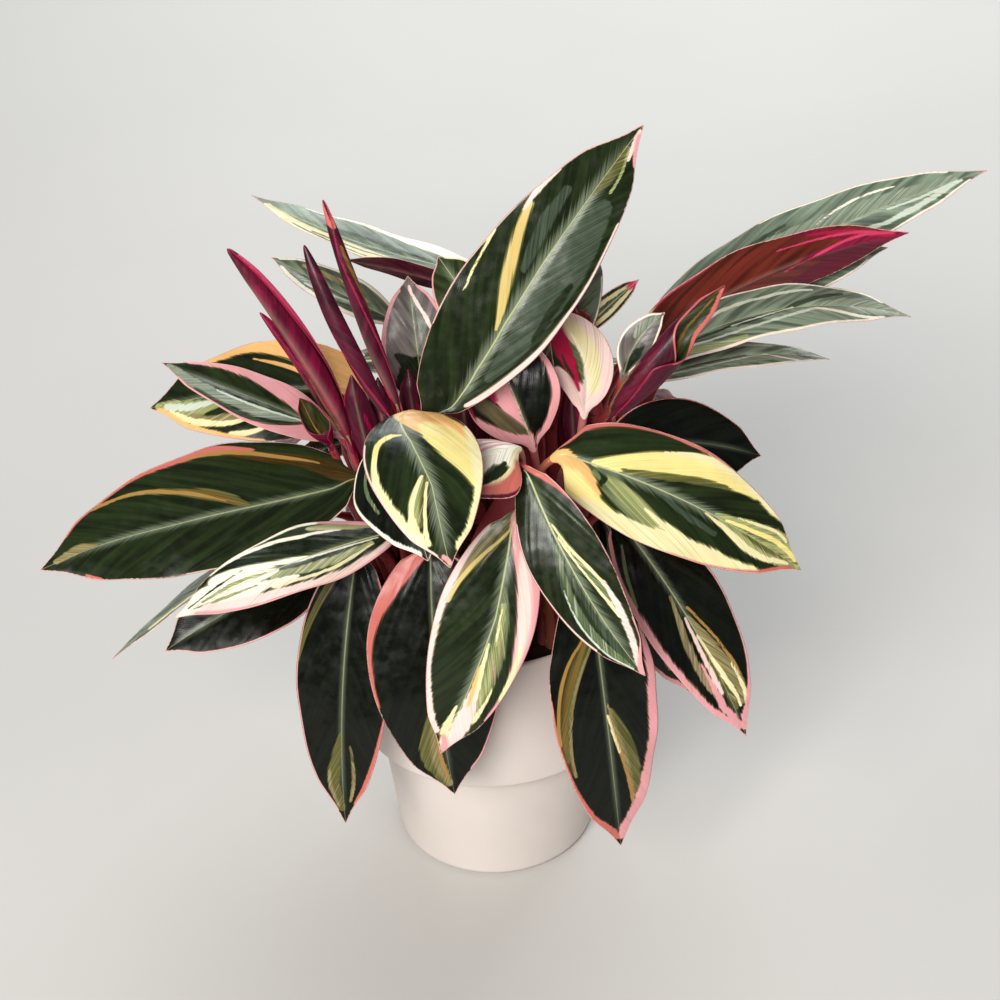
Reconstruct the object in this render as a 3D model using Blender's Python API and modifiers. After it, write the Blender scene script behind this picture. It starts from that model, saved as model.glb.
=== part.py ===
"""Potted stromanthe: a clump of long variegated leaves growing from eight shoots in a white collared pot.

Units are metres with +Z up. The origin is the centre of the pot's underside, and the plant's front is -Y.
Each leaf is one piece: a round stalk that starts in the soil and widens into a thin blade.
"""
import math
from dataclasses import dataclass

import bmesh
import bpy
from mathutils import Vector

MM = 0.001

# Pot: a tapered body with a deep, slightly wider collar.
POT_HEIGHT = 160 * MM
POT_BASE_RADIUS = 52 * MM
POT_WAIST_RADIUS = 59.5 * MM
POT_COLLAR_LOW_RADIUS = 70 * MM
POT_RIM_RADIUS = 73.5 * MM
POT_COLLAR_Z = 79 * MM
POT_WALL = 3 * MM
POT_FLOOR = 4 * MM
POT_FOOT_ROUND = 4 * MM
POT_EDGE_ROUND = 2 * MM
ROUND_STEPS = 3
TURN_STEPS = 40
MERGE_DISTANCE = 0.01 * MM

# Potting soil, just clear of the pot and of the stalks that stand in it.
CLEARANCE = 0.3 * MM
SOIL_EDGE_Z = 142 * MM
SOIL_CROWN_Z = 146 * MM
SOCKET_DEPTH = 12 * MM
SOCKET_TOP_Z = 155 * MM

# Stalks: straight out of the soil, then one curve to the blade. RISE and BEND are shares of that curve's
# chord, for the pull of its upright start and of its end. RING_FILL is how evenly a shoot's stalks spread.
RING_POINTS = 8
STALK_RADIUS = 1.5 * MM
STALK_SPACING = 4.6 * MM
STALK_STRAIGHT_Z = 149 * MM
STALK_ROWS = 6
STALK_RISE = 0.45
STALK_BEND = 0.3
RING_FILL = 0.75
SPREAD_ROUNDS = 100

# Blades. NECK and WIDEST_AT are shares of the blade's length. A higher SHOULDER or TAPER narrows that half.
BLADE_ROWS = 8
BLADE_THICKNESS = 0.9 * MM
BLADE_EDGE = 0.5 * MM
BLADE_TIP_WIDTH = 1.2 * MM
BLADE_NECK = 0.10
WIDEST_AT = 0.42
SHOULDER = 0.75
TAPER = 0.7
RIM_DROOP = 0.10
RIM_FROM = 0.9
ROLL_FLATNESS = 0.7

WHITE = (0.86, 0.85, 0.83)
SOIL_BROWN = (0.06, 0.04, 0.03)
LEAF_GREEN = (0.10, 0.16, 0.08)
LEAF_BURGUNDY = (0.32, 0.06, 0.12)

# Where each shoot's centre stands on the soil, in millimetres.

SHOOTS = {
    "left": (-40, -8),
    "left_front": (-18, -26),
    "front": (2, -48),
    "right_front": (32, -34),
    "right": (30, -4),
    "side": (38, 28),
    "back": (4, 38),
    "back_left": (-34, 30),
}


@dataclass(frozen=True)
class Leaf:
    """One leaf, in millimetres and degrees.

    base and tip are the blade's ends, and face is the way its upper side looks. The midrib's middle lies
    arch above and sweep beside the straight line between them. fold lifts the two halves into a shallow V,
    twist turns the tip about the midrib, and a rolled leaf is a new one that is still a closed spear.
    """

    name: str
    shoot: str
    base: tuple
    tip: tuple
    width: float
    face: tuple
    arch: float = 8
    sweep: float = 0
    fold: float = 8
    twist: float = 0
    rolled: bool = False


LEAVES = (
    Leaf("leaf_tall_front", "left_front", (-25, -50, 290), (80, 5, 405), 52, (0.15, -0.85, 0.5), 8, -2),
    Leaf("leaf_front_gold", "left_front", (-30, -55, 300), (-15, -135, 270), 52, (0.1, -0.6, 0.8), 14, 2, 5),
    Leaf(
        "leaf_front_gold_under", "left_front", (-45, -45, 280), (-25, -110, 255),
        50, (-0.35, -0.6, 0.7), 8, -4, 5,
    ),
    Leaf("leaf_right_gold", "right_front", (35, -60, 275), (145, -85, 220), 54, (0.1, -0.6, 0.8), 8, -3, 6),
    Leaf("leaf_front_drop_right", "right", (20, -75, 280), (70, -125, 195), 36, (-0.3, -0.8, 0.5), 10, 2),
    Leaf("leaf_front_centre", "front", (15, -75, 255), (-25, -115, 145), 46, (0, -0.9, 0.4), 10, -1, 6),
    Leaf("leaf_front_low_left", "front", (-25, -55, 225), (-20, -100, 105), 64, (0, -0.9, 0.4), 8, 3, 6),
    Leaf("leaf_low_left", "left", (-60, -35, 210), (-75, -85, 75), 48, (-0.3, -0.9, 0.3), 8, 2, 6),
    Leaf("leaf_low_right", "front", (48, -61, 210), (60, -100, 65), 54, (0.3, -0.9, 0.3), 8, 2, 6),
    Leaf("leaf_right_low", "right_front", (60, -51, 234), (120, -101, 134), 44, (0.3, -0.8, 0.5), 8, -3, 6),
    Leaf(
        "leaf_right_low_under", "right_front", (50, -28, 234), (101, -52, 118),
        36, (0.2, -0.8, 0.5), 6, 2, 6,
    ),
    Leaf("leaf_left_big", "left", (-55, -30, 245), (-205, -70, 230), 62, (0, -0.5, 0.85), 8, 3, 4),
    Leaf("leaf_left_pink", "left_front", (-40, -60, 235), (-140, -110, 230), 40, (0, -0.15, 1), 8, -2),
    Leaf("leaf_left_dark_low", "back_left", (-75, -20, 190), (-155, -60, 170), 42, (0, -0.6, 0.8), 8, 0, 6),
    Leaf("leaf_left_edge_on", "back_left", (-80, 0, 205), (-185, -40, 150), 34, (-0.55, 0.25, 0.75), 4, 0, 6),
    Leaf("leaf_left_orange", "back_left", (-45, 20, 260), (-160, 30, 250), 52, (0, -0.6, 0.8), 8, 2, 4),
    Leaf("leaf_left_pink_narrow", "left", (-65, -12, 258), (-145, -12, 303), 30, (0, -0.3, 0.95), 6, -4),
    Leaf("leaf_back_left_long", "back", (15, 55, 300), (-105, 85, 335), 34, (0, 0.1, 1), -3, -6, 12),
    Leaf("leaf_back_left_under", "back", (5, 30, 305), (-60, 45, 320), 26, (0, 0.8, 0.6), 2, 0),
    Leaf("leaf_back_left_small", "back_left", (-35, 25, 295), (-95, 50, 320), 26, (0, -0.1, 1), 0, 0, 12),
    Leaf("leaf_back_pale", "left_front", (-25, 5, 260), (-30, 35, 315), 34, (0, -0.8, 0.6), 6, 0),
    Leaf("leaf_back_dark", "back", (10, 5, 295), (-15, 35, 325), 30, (0, -0.8, 0.6), 6, 0),
    Leaf("leaf_behind_tall", "right", (30, 0, 280), (60, 45, 320), 30, (0, -0.8, 0.6), 6, 0),
    Leaf("leaf_small_upright", "right", (50, 15, 290), (80, 30, 310), 11, (-0.2, -0.8, 0.6), 3, 0, 20),
    Leaf("leaf_centre_cream", "right", (50, -20, 270), (35, 5, 310), 30, (0.3, -0.8, 0.6), 5, 6, 10),
    Leaf("leaf_centre_dark", "right_front", (25, -38, 265), (5, -9, 315), 44, (0, -0.8, 0.6), 6, 0),
    Leaf(
        "leaf_centre_white", "left_front", (17, -70, 288), (-12, -92, 278),
        36, (-0.1, -0.5, 0.85), 6, 0, -20,
    ),
    Leaf("leaf_right_dark", "right", (60, -18, 248), (135, -13, 234), 44, (0.1, -0.6, 0.8), 5, -3, 4),
    Leaf("leaf_right_upper", "side", (85, 55, 268), (254, 80, 332), 42, (0, -0.3, 0.9), 0, -7),
    Leaf("leaf_right_burgundy", "side", (70, 26, 262), (210, 41, 322), 46, (0, 0.9, 0.3), 8, 8),
    Leaf("leaf_right_mid", "side", (80, 13, 270), (210, 23, 286), 34, (0, -0.2, 1), 16, -6),
    Leaf("leaf_right_lower", "side", (80, 7, 266), (170, 12, 271), 28, (0, 0.1, 1), 8, 0),
    Leaf("leaf_side_half_open", "side", (70, -6, 282), (90, 4, 307), 16, (0, -0.8, 0.6), 3, -3),
    Leaf("leaf_right_upper_low", "side", (105, 55, 258), (205, 65, 300), 34, (0, -0.3, 0.9), 6, -4),
    Leaf("leaf_rear_upper_left", "back_left", (-25, 45, 252), (-82, 105, 215), 44, (-0.2, 0.3, 0.95), 10, 0),
    Leaf("leaf_rear_upper_middle", "back", (8, 52, 262), (28, 135, 235), 46, (0, 0.3, 0.95), 10, 3),
    Leaf("leaf_rear_upper_right", "back", (44, 46, 240), (94, 108, 202), 42, (0.2, 0.4, 0.9), 10, 0),
    Leaf("leaf_rear_side_left", "back_left", (-50, 35, 222), (-125, 80, 150), 46, (-0.4, 0.2, 0.9), 10, 0),
    Leaf("leaf_rear_side_right", "side", (60, 24, 192), (114, 70, 132), 42, (0.5, 0.2, 0.8), 8, 0),
    Leaf("leaf_rear_low_middle", "back", (-1, 62, 208), (-6, 120, 88), 40, (0, 0.9, 0.3), 10, 0),
    Leaf("leaf_rear_left", "back_left", (-35, 45, 235), (-110, 125, 150), 52, (-0.2, 0.4, 0.9), 10, 0),
    Leaf("leaf_rear_middle", "back", (0, 55, 235), (5, 165, 165), 54, (0, 0.3, 0.95), 10, 0),
    Leaf("leaf_rear_right", "side", (40, 50, 235), (105, 140, 160), 50, (0.2, 0.4, 0.9), 10, 0),
    Leaf("leaf_rear_low_left", "back_left", (-30, 55, 210), (-65, 120, 75), 46, (-0.3, 0.9, 0.3), 10, 0),
    Leaf("leaf_rear_low_right", "side", (30, 60, 210), (55, 120, 75), 46, (0.3, 0.9, 0.3), 10, 0),
    Leaf("new_leaf_left", "left", (-60, -20, 255), (-110, 0, 355), 13, (0.3, -0.6, 0.6), 3, 5, 0, 0, True),
    Leaf(
        "new_leaf_left_short", "left", (-65, 2, 240), (-100, 15, 311),
        8, (0.3, -0.6, 0.6), 3, 3, 0, 0, True,
    ),
    Leaf("new_leaf_middle", "left_front", (-40, -30, 275), (-75, 0, 355), 9, (0, -1, 0.3), 2, -2, 0, 0, True),
    Leaf("new_leaf_right", "left", (-35, -25, 275), (-65, 5, 375), 8, (0, -1, 0.3), 2, -1, 0, 0, True),
    Leaf("new_leaf_side", "right_front", (60, -35, 275), (115, -20, 335), 17, (0, -1, 0.3), 2, 0, 0, 0, True),
    Leaf("new_leaf_red", "right", (55, 5, 295), (45, 15, 315), 8, (0, -1, 0.3), 1, 0, 0, 0, True),
    Leaf("new_leaf_small", "left", (-70, -23, 261), (-82, -23, 287), 12, (0, -1, 0.3), 2, 0, 0, 0, True),
)


def clear_scene():
    """Remove every object, so that the model starts from nothing."""
    for thing in list(bpy.data.objects):
        bpy.data.objects.remove(thing, do_unlink=True)


def new_collection(name):
    collection = bpy.data.collections.new(name)
    bpy.context.scene.collection.children.link(collection)
    return collection


def new_material(name, colour, roughness):
    material = bpy.data.materials.new(name)
    material.use_nodes = True
    shader = material.node_tree.nodes["Principled BSDF"]
    shader.inputs["Base Color"].default_value = (*colour, 1)
    shader.inputs["Roughness"].default_value = roughness
    shader.inputs["Metallic"].default_value = 0
    return material


def new_object(name, mesh, collection, material=None):
    thing = bpy.data.objects.new(name, mesh)
    collection.objects.link(thing)
    if material:
        mesh.materials.append(material)
    return thing


def arc(centre_r, centre_z, radius, start, end):
    """Points (r, z) on a round edge, between two angles in degrees."""
    angles = (start + (end - start) * step / ROUND_STEPS for step in range(ROUND_STEPS + 1))
    turns = [math.radians(angle) for angle in angles]
    return [(centre_r + radius * math.cos(turn), centre_z + radius * math.sin(turn)) for turn in turns]


def turned(name, profile, collection, material):
    """Turn a profile of (r, z) points, listed down its outer side, about Z."""
    mesh = bpy.data.meshes.new(name)
    points = [(radius, 0, height) for radius, height in profile]
    mesh.from_pydata(points, [(i, i + 1) for i in range(len(points) - 1)], [])
    thing = new_object(name, mesh, collection, material)
    screw = thing.modifiers.new("Turn", "SCREW")
    screw.steps = TURN_STEPS
    screw.render_steps = TURN_STEPS
    screw.use_merge_vertices = True
    screw.merge_threshold = MERGE_DISTANCE
    screw.use_smooth_shade = True
    return thing


def inner_radius(height):
    """The radius of the pot's inside wall at a height."""
    if height < POT_COLLAR_Z:
        rise = height / POT_COLLAR_Z
        return POT_BASE_RADIUS + (POT_WAIST_RADIUS - POT_BASE_RADIUS) * rise - POT_WALL
    rise = (height - POT_COLLAR_Z) / (POT_HEIGHT - POT_COLLAR_Z)
    return POT_COLLAR_LOW_RADIUS + (POT_RIM_RADIUS - POT_COLLAR_LOW_RADIUS) * rise - POT_WALL


def make_pot(collection, material):
    """The pot's wall, from the middle of its inside floor, over the rim and down the outside."""
    ledge_z = POT_COLLAR_Z + POT_WALL
    lip = POT_WALL / 2
    profile = [(0, POT_FLOOR), (inner_radius(POT_FLOOR), POT_FLOOR)]
    profile += [(POT_WAIST_RADIUS - POT_WALL, ledge_z), (inner_radius(ledge_z), ledge_z)]
    profile += arc(POT_RIM_RADIUS - lip, POT_HEIGHT - lip, lip, 180, 0)
    edge_z = POT_COLLAR_Z + POT_EDGE_ROUND
    profile += arc(POT_COLLAR_LOW_RADIUS - POT_EDGE_ROUND, edge_z, POT_EDGE_ROUND, 0, -90)
    profile += [(POT_WAIST_RADIUS, POT_COLLAR_Z)]
    profile += arc(POT_BASE_RADIUS - POT_FOOT_ROUND, POT_FOOT_ROUND, POT_FOOT_ROUND, 0, -90)
    profile += [(0, 0)]
    return turned("pot", profile, collection, material)


def make_soil(collection, material):
    """Soil that fills the pot, a little higher in the middle, clear of the wall all round."""
    ledge_z = POT_COLLAR_Z + POT_WALL
    profile = [(0, SOIL_CROWN_Z), (inner_radius(SOIL_EDGE_Z) - CLEARANCE, SOIL_EDGE_Z)]
    profile += [(inner_radius(ledge_z) - CLEARANCE, ledge_z + CLEARANCE)]
    profile += [(POT_WAIST_RADIUS - POT_WALL - CLEARANCE, ledge_z + CLEARANCE)]
    profile += [(inner_radius(POT_FLOOR) - CLEARANCE, POT_FLOOR + CLEARANCE), (0, POT_FLOOR + CLEARANCE)]
    return turned("potting_soil", profile, collection, material)


def bezier(points, t):
    """The point at t on the curve with these control points."""
    while len(points) > 1:
        points = [a.lerp(b, t) for a, b in zip(points, points[1:])]
    return points[0]


def square_to(direction, along):
    """The part of a direction that is square to another, at length 1."""
    return (direction - along * direction.dot(along)).normalized()


def half_width(leaf, s):
    """Half the blade's width at s, from 0 at the stalk to 1 at the tip."""
    if s < WIDEST_AT:
        share = math.sin(math.pi / 2 * s / WIDEST_AT) ** SHOULDER
    else:
        share = math.cos(math.pi / 2 * (s - WIDEST_AT) / (1 - WIDEST_AT)) ** TAPER
    return leaf.width * MM / 2 * share


def blade_curve(leaf):
    """The midrib's three control points, with the way the blade faces."""
    base = Vector(leaf.base) * MM
    tip = Vector(leaf.tip) * MM
    along = (tip - base).normalized()
    up = square_to(Vector(leaf.face), along)
    side = along.cross(up)
    middle = (base + tip) / 2 + 2 * MM * (leaf.arch * up + leaf.sweep * side)
    return [base, middle, tip], up


def spread(angles, gap):
    """Push sorted angles apart, around the circle, until neighbours stand at least a gap apart."""
    count = len(angles)
    for _ in range(SPREAD_ROUNDS):
        for i in range(count):
            j = (i + 1) % count
            whole_turn = math.tau if j == 0 else 0
            push = max(gap - (angles[j] + whole_turn - angles[i]), 0) / 2
            angles[i] -= push
            angles[j] += push
    return angles


def stalk_roots():
    """Where each stalk stands: in a ring around its shoot's centre, on the side that its leaf leans to."""
    roots = {}
    for shoot, centre in SHOOTS.items():
        middle = Vector((*centre, 0)) * MM
        members = [leaf for leaf in LEAVES if leaf.shoot == shoot]
        bearings = {}
        for leaf in members:
            reach = Vector(leaf.base) * MM - middle
            bearings[leaf.name] = math.atan2(reach.y, reach.x)
        members.sort(key=lambda leaf: bearings[leaf.name])
        gap = math.tau / len(members) * RING_FILL
        radius = STALK_SPACING / 2 / math.sin(gap / 2)
        angles = spread([bearings[leaf.name] for leaf in members], gap)
        for leaf, angle in zip(members, angles):
            roots[leaf.name] = middle + radius * Vector((math.cos(angle), math.sin(angle), 0))
    return roots


def leaf_rings(leaf, root):
    """Cross-sections of a leaf, from the foot of its stalk to its tip.

    A stalk meets its blade half way between the blade's own direction and straight up.
    """
    curve, facing = blade_curve(leaf)
    arrival = ((curve[1] - curve[0]).normalized() + Vector((0, 0, 1))).normalized()
    foot = Vector((root.x, root.y, STALK_STRAIGHT_Z))
    reach = (curve[0] - foot).length
    rise = Vector((0, 0, STALK_RISE * reach))
    stalk = [foot, foot + rise, curve[0] - arrival * STALK_BEND * reach, curve[0]]

    places = [Vector((root.x, root.y, SOIL_EDGE_Z - SOCKET_DEPTH))]
    places += [bezier(stalk, i / STALK_ROWS) for i in range(STALK_ROWS)]
    stations = [0] * len(places)
    for i in range(BLADE_ROWS + 1):
        share = i / BLADE_ROWS
        stations.append(share)
        places.append(bezier(curve, share))

    tangents = [(b - a).normalized() for a, b in zip(places, places[1:])]
    between = [(a + b).normalized() for a, b in zip(tangents, tangents[1:])]
    tangents = [tangents[0]] + between + [tangents[-1]]
    first_blade_row = len(places) - BLADE_ROWS - 1
    normals = [square_to(facing, tangent) for tangent in tangents[first_blade_row:]]
    for tangent in reversed(tangents[:first_blade_row]):
        normals.insert(0, square_to(normals[0], tangent))

    rings = []
    for place, tangent, normal, s in zip(places, tangents, normals, stations):
        roll = math.radians(leaf.twist) * s
        side = tangent.cross(normal)
        up = normal * math.cos(roll) + side * math.sin(roll)
        side = side * math.cos(roll) - normal * math.sin(roll)
        rings.append([place + side * across + up * rise for across, rise in section(leaf, s)])
    return rings


def section(leaf, s):
    """One cross-section as (across, rise) points: round in the stalk, thin and folded in the blade."""
    blend = min(s / BLADE_NECK, 1)
    width = max(half_width(leaf, s), BLADE_TIP_WIDTH / 2)
    points = []
    for i in range(RING_POINTS):
        angle = math.tau * i / RING_POINTS
        across, rise = math.cos(angle), math.sin(angle)
        if leaf.rolled:
            flat = (width * across, width * rise * ROLL_FLATNESS)
        else:
            thick = BLADE_THICKNESS if abs(across) < RIM_FROM else BLADE_EDGE
            lift = width * (math.tan(math.radians(leaf.fold)) * abs(across) - RIM_DROOP * across ** 2)
            flat = (width * across, lift + thick / 2 * rise)
        stalk = (STALK_RADIUS * across, STALK_RADIUS * rise)
        points.append(tuple(a + (b - a) * blend for a, b in zip(stalk, flat)))
    return points


def make_leaf(leaf, root, collection, material):
    """Join a leaf's cross-sections, and close its foot and tip."""
    mesh = bpy.data.meshes.new(leaf.name)
    shape = bmesh.new()
    rings = [[shape.verts.new(point) for point in ring] for ring in leaf_rings(leaf, root)]
    for low, high in zip(rings, rings[1:]):
        for i in range(RING_POINTS):
            j = (i + 1) % RING_POINTS
            shape.faces.new((low[i], low[j], high[j], high[i]))
    shape.faces.new(reversed(rings[0]))
    shape.faces.new(rings[-1])
    bmesh.ops.recalc_face_normals(shape, faces=shape.faces)
    shape.to_mesh(mesh)
    shape.free()
    mesh.shade_smooth()
    return new_object(leaf.name, mesh, collection, material)


def cut_sockets(soil, roots, collection):
    """Blind holes in the soil, one for each stalk."""
    mesh = bpy.data.meshes.new("stalk_sockets")
    shape = bmesh.new()
    bottom = SOIL_EDGE_Z - SOCKET_DEPTH - CLEARANCE
    radius = (STALK_RADIUS + CLEARANCE) / math.cos(math.pi / RING_POINTS)
    for root in roots.values():
        made = bmesh.ops.create_cone(
            shape,
            cap_ends=True,
            segments=RING_POINTS,
            radius1=radius,
            radius2=radius,
            depth=SOCKET_TOP_Z - bottom,
        )
        centre = (root.x, root.y, (SOCKET_TOP_Z + bottom) / 2)
        bmesh.ops.translate(shape, verts=made["verts"], vec=centre)
    shape.to_mesh(mesh)
    shape.free()
    cutter = new_object("stalk_sockets", mesh, collection)
    cutter.hide_render = True
    cutter.display_type = "WIRE"
    cut = soil.modifiers.new("Sockets", "BOOLEAN")
    cut.operation = "DIFFERENCE"
    cut.object = cutter


def main():
    clear_scene()
    parts = new_collection("potted_stromanthe")
    cutters = new_collection("cutters")
    make_pot(parts, new_material("white_ceramic", WHITE, 0.5))
    soil = make_soil(parts, new_material("soil", SOIL_BROWN, 0.95))
    green = new_material("leaf_green", LEAF_GREEN, 0.4)
    burgundy = new_material("leaf_burgundy", LEAF_BURGUNDY, 0.45)
    roots = stalk_roots()
    for leaf in LEAVES:
        make_leaf(leaf, roots[leaf.name], parts, burgundy if leaf.rolled else green)
    cut_sockets(soil, roots, cutters)


main()
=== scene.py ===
"""Looks for a potted stromanthe: fine leaves, rolled new leaves, scale leaves, a collared pot and its soil,
in a plain studio.

Each leaf is lofted along the same midrib and stalk as its CAD solid, only finer, and is marked with brush
strokes that are laid out along its length and across its width.
"""

import math
import random
from dataclasses import dataclass

import bpy
import numpy as np
from mathutils import Matrix, Vector


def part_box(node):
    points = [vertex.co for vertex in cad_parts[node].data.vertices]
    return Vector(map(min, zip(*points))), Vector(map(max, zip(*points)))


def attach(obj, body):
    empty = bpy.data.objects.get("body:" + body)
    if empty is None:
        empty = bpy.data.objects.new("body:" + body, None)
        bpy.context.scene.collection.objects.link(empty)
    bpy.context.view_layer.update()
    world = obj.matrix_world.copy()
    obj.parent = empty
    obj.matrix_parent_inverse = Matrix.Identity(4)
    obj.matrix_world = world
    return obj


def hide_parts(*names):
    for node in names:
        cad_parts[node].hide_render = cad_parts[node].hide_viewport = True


bl_info = {
    "name": "Potted stromanthe",
    "version": (1, 0, 0),
    "blender": (4, 5, 0),
    "location": "View3D > Sidebar > Stromanthe",
    "description": "Builds a potted stromanthe's leaves, new leaves, pot and soil, and a plain studio for them",
    "category": "Object",
}

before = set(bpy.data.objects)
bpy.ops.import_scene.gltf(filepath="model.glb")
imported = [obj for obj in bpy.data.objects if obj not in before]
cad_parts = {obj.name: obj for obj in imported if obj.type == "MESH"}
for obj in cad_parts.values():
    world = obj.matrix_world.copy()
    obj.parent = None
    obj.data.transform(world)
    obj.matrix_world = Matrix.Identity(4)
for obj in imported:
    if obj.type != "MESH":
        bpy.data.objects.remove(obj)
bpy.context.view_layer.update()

MM = 0.001

# Stalks and blades, the same as the CAD solids'.
FOOT_Z = 130 * MM
STALK_STRAIGHT_Z = 149 * MM
STALK_RADIUS = 1.5 * MM
STALK_RISE = 0.45
STALK_BEND = 0.3
BLADE_NECK = 0.07
WIDEST_AT = 0.42
SHOULDER = 0.62
TAPER = 0.7
RIM_DROOP = 0.10
# Leaves with a rounder base.
ROUND_SHOULDER = 0.36
ROUND_BASED = ("leaf_right_gold",)
# How far a leaf's box may be from its CAD solid's.
BOX_TOLERANCE = 6 * MM

# Stations run from -1 at the soil to 0 at the blade's base and 1 at its tip. These two lie below the soil.
BURIED = (-1.1, -1.05)
FOOT_TOLERANCE = 0.02 * MM
# A stalk swells under its blade and at its foot, and a sheath with two wings wraps its lower part. Where each
# begins and is full is a share of the way down, or of the way up for the wings.
NECK_SWELL = 0.3
NECK_REACH = 0.12
FOOT_SWELL = 0.25
FOOT_SPAN = (0.85, 1.05)
SHEATH_SWELL = 0.9
SHEATH_TOP = (0.14, 0.34)
SHEATH_WING = 1.4
WING_SPAN = (0.05, 0.35)

# How finely a leaf is built. HALF_PLACES is the number of columns from the midrib out to one margin. Only one
# in UNDERSIDE_STEP of them is kept on a lower side that has no markings of its own.
STALK_ROWS = 20
ROW_SPACING = 1.3 * MM
ROW_CROWDING = 1.12
LEAST_ROWS = 12
MOST_ROWS = 120
HALF_PLACES = 28
COLUMN_CROWDING = 0.06
UNDERSIDE_STEP = 4
ROLL_PLACES = 45
SMOOTH_REACH = 7
SMOOTH_ROUNDS = 12

# A leaf's tip is drawn out to a point over the last part of its length.
POINT_FROM = 0.84
POINT_PINCH = 0.5
TIP_WIDTH = 0.5 * MM

# Margins and veins stand up in full on a blade this wide on each side. How long their waves are is given in
# millimetres. A ridge along the side veins is the sum of two waves, and swells and fades in a third, slower one.
FULL_WAVE_WIDTH = 24 * MM
MARGIN_WAVES = (34, 46)
RIDGE_WAVES = (7, 9)
RIDGE_SHARES = (0.6, 0.4)
RIDGE_RATIO = 1.63
RIDGE_FADING = 3.7
RIDGE_GAIN = 2.6
MARGIN_THINNING = 0.55
GROOVE_WIDTH = 1.3 * MM
GROOVE_FADE = (0.03, 0.4)

# Rolled leaves: how flat the roll is, how much of its radius the spiral loses at this many turns, how thick it
# is, at most as a share of its radius, and over how much of the leaf it opens, before and after the place stated.
ROLL_FLATNESS = 0.7
ROLL_TIGHTENING = 0.32
TIGHTEST_TURNS = 1.5
ROLL_THICKNESS = 0.35 * MM
ROLL_THICKEST = 0.12
ROLL_OPENING = (0.12, 0.2)
# The free edge is a thin lip, and starts this far out.
LIP_THICKNESS = 0.3
ROLL_LIP = 0.992
# How much wider a rolled leaf's surface is than the roll.
UNROLLED = 2.2

# The way the side veins lean: how far along the leaf one runs for each millimetre across.
VEIN_LEAN = 1.9
VEIN_CURVE = 0.45

# A field is stored as half plus its distance inside the marking's edge, as a share of FIELD_SPAN millimetres.
FIELD_SPAN = 12
FAR_OUTSIDE = -30.0
STROKE_STEPS = 26
STROKE_SOFTNESS = 1.3
# A stroke narrower than this, in millimetres, is feathered less, so that it stays in one piece.
FIRM_BELOW = 2.2
FIRMEST = 3.0
WIDTH_STEPS = 60
# Each leaf's streaks start somewhere in this span.
SEED_SPAN = (0, 60)
# Where the stalk's own surface ends, how far below the blade its red sets in, and where its foot turns green.
STALK_END = 0.015
STALK_FADE = (0.0, 0.05)
GREEN_FOOT = (0.7, 1)
# Where a rolled leaf's inside takes its own colours.
INSIDE_FROM = (0.1, 0.2)
# How fast streaks change down a stalk.
STALK_STREAKS = 100

# The part of the baked picture that each surface takes, across it.
UPPER_BAND = (0.0, 0.42)
LOWER_BAND = (0.44, 0.86)
STALK_BAND = (0.88, 1.0)
SPARE_CORNER = (0.001, 0.999)

# Pot and soil, the same as the CAD solids'.
POT_HEIGHT = 160 * MM
POT_BASE_RADIUS = 52 * MM
POT_WAIST_RADIUS = 59.5 * MM
POT_COLLAR_LOW_RADIUS = 70 * MM
POT_RIM_RADIUS = 73.5 * MM
POT_COLLAR_Z = 79 * MM
POT_WALL = 3 * MM
POT_FLOOR = 4 * MM
SOIL_EDGE_Z = 142 * MM
SOIL_CROWN_Z = 146 * MM
SOIL_MIDDLE_Z = 110 * MM
CLEARANCE = 0.3 * MM

# The soil's top: how finely it is built, and its lumps, which rise and sink within these limits.
SOIL_RINGS = 40
SOIL_STEPS = 128
LUMPS = 420
LUMP_SEED = 5
LUMP_REACHES = (2 * MM, 7 * MM)
LUMP_HEIGHT = 1.1 * MM
LUMP_LIMITS = (-1.8 * MM, 2.4 * MM)
FLAT_AT_WALL = (0.93, 1)

# How fine the soft puckers and the patches of gloss are, per metre, how strongly a leaf is puckered, and how
# much rougher its pale parts are.
QUILT_SCALE = 95
QUILTING = 24.0
GLOSS_SCALE = 200
PALE_ROUGHNESS = 0.08

# The studio: each light's place, width, height and colour, and where the camera stands and looks.
WINDOW_LIGHT = ((0.35, 1.5, 1.25), 1.8, 1.1, (0.95, 0.98, 1))
FRONT_LIGHT = ((-0.55, -1.5, 1.35), 1.0, 0.8, (1, 0.97, 0.93))
LIGHTS_AIM = (0, 0, 0.24)
SKY_COLOUR = (0.93, 0.96, 1, 1)
CAMERA_PLACE = (0, -0.9646, 0.9138)
CAMERA_AIM = (0.009, 0.0028, 0.2038)
CAMERA_ROLL = math.radians(-2.5)


def linear(red, green, blue):
    """A colour as Blender wants it, from values of 0 to 255 as a paint chart gives them."""
    shares = (channel / 255 for channel in (red, green, blue))
    return tuple(s / 12.92 if s <= 0.04045 else ((s + 0.055) / 1.055) ** 2.4 for s in shares)


# Grounds are what a leaf is between its markings.
GROUNDS = {
    "green": linear(26, 36, 15),
    "deep": linear(10, 14, 6),
    "grey_green": linear(94, 104, 86),
    # This ground is a grey-green lightened by painted sheen: the window reflected on leaves that face up.
    "silver": linear(110, 124, 106),
    "dusk": linear(104, 97, 94),
    "moss": linear(42, 52, 26),
    "maroon": linear(70, 14, 34),
    "crimson": linear(102, 10, 44),
    "brown": linear(98, 34, 26),
}
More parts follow.
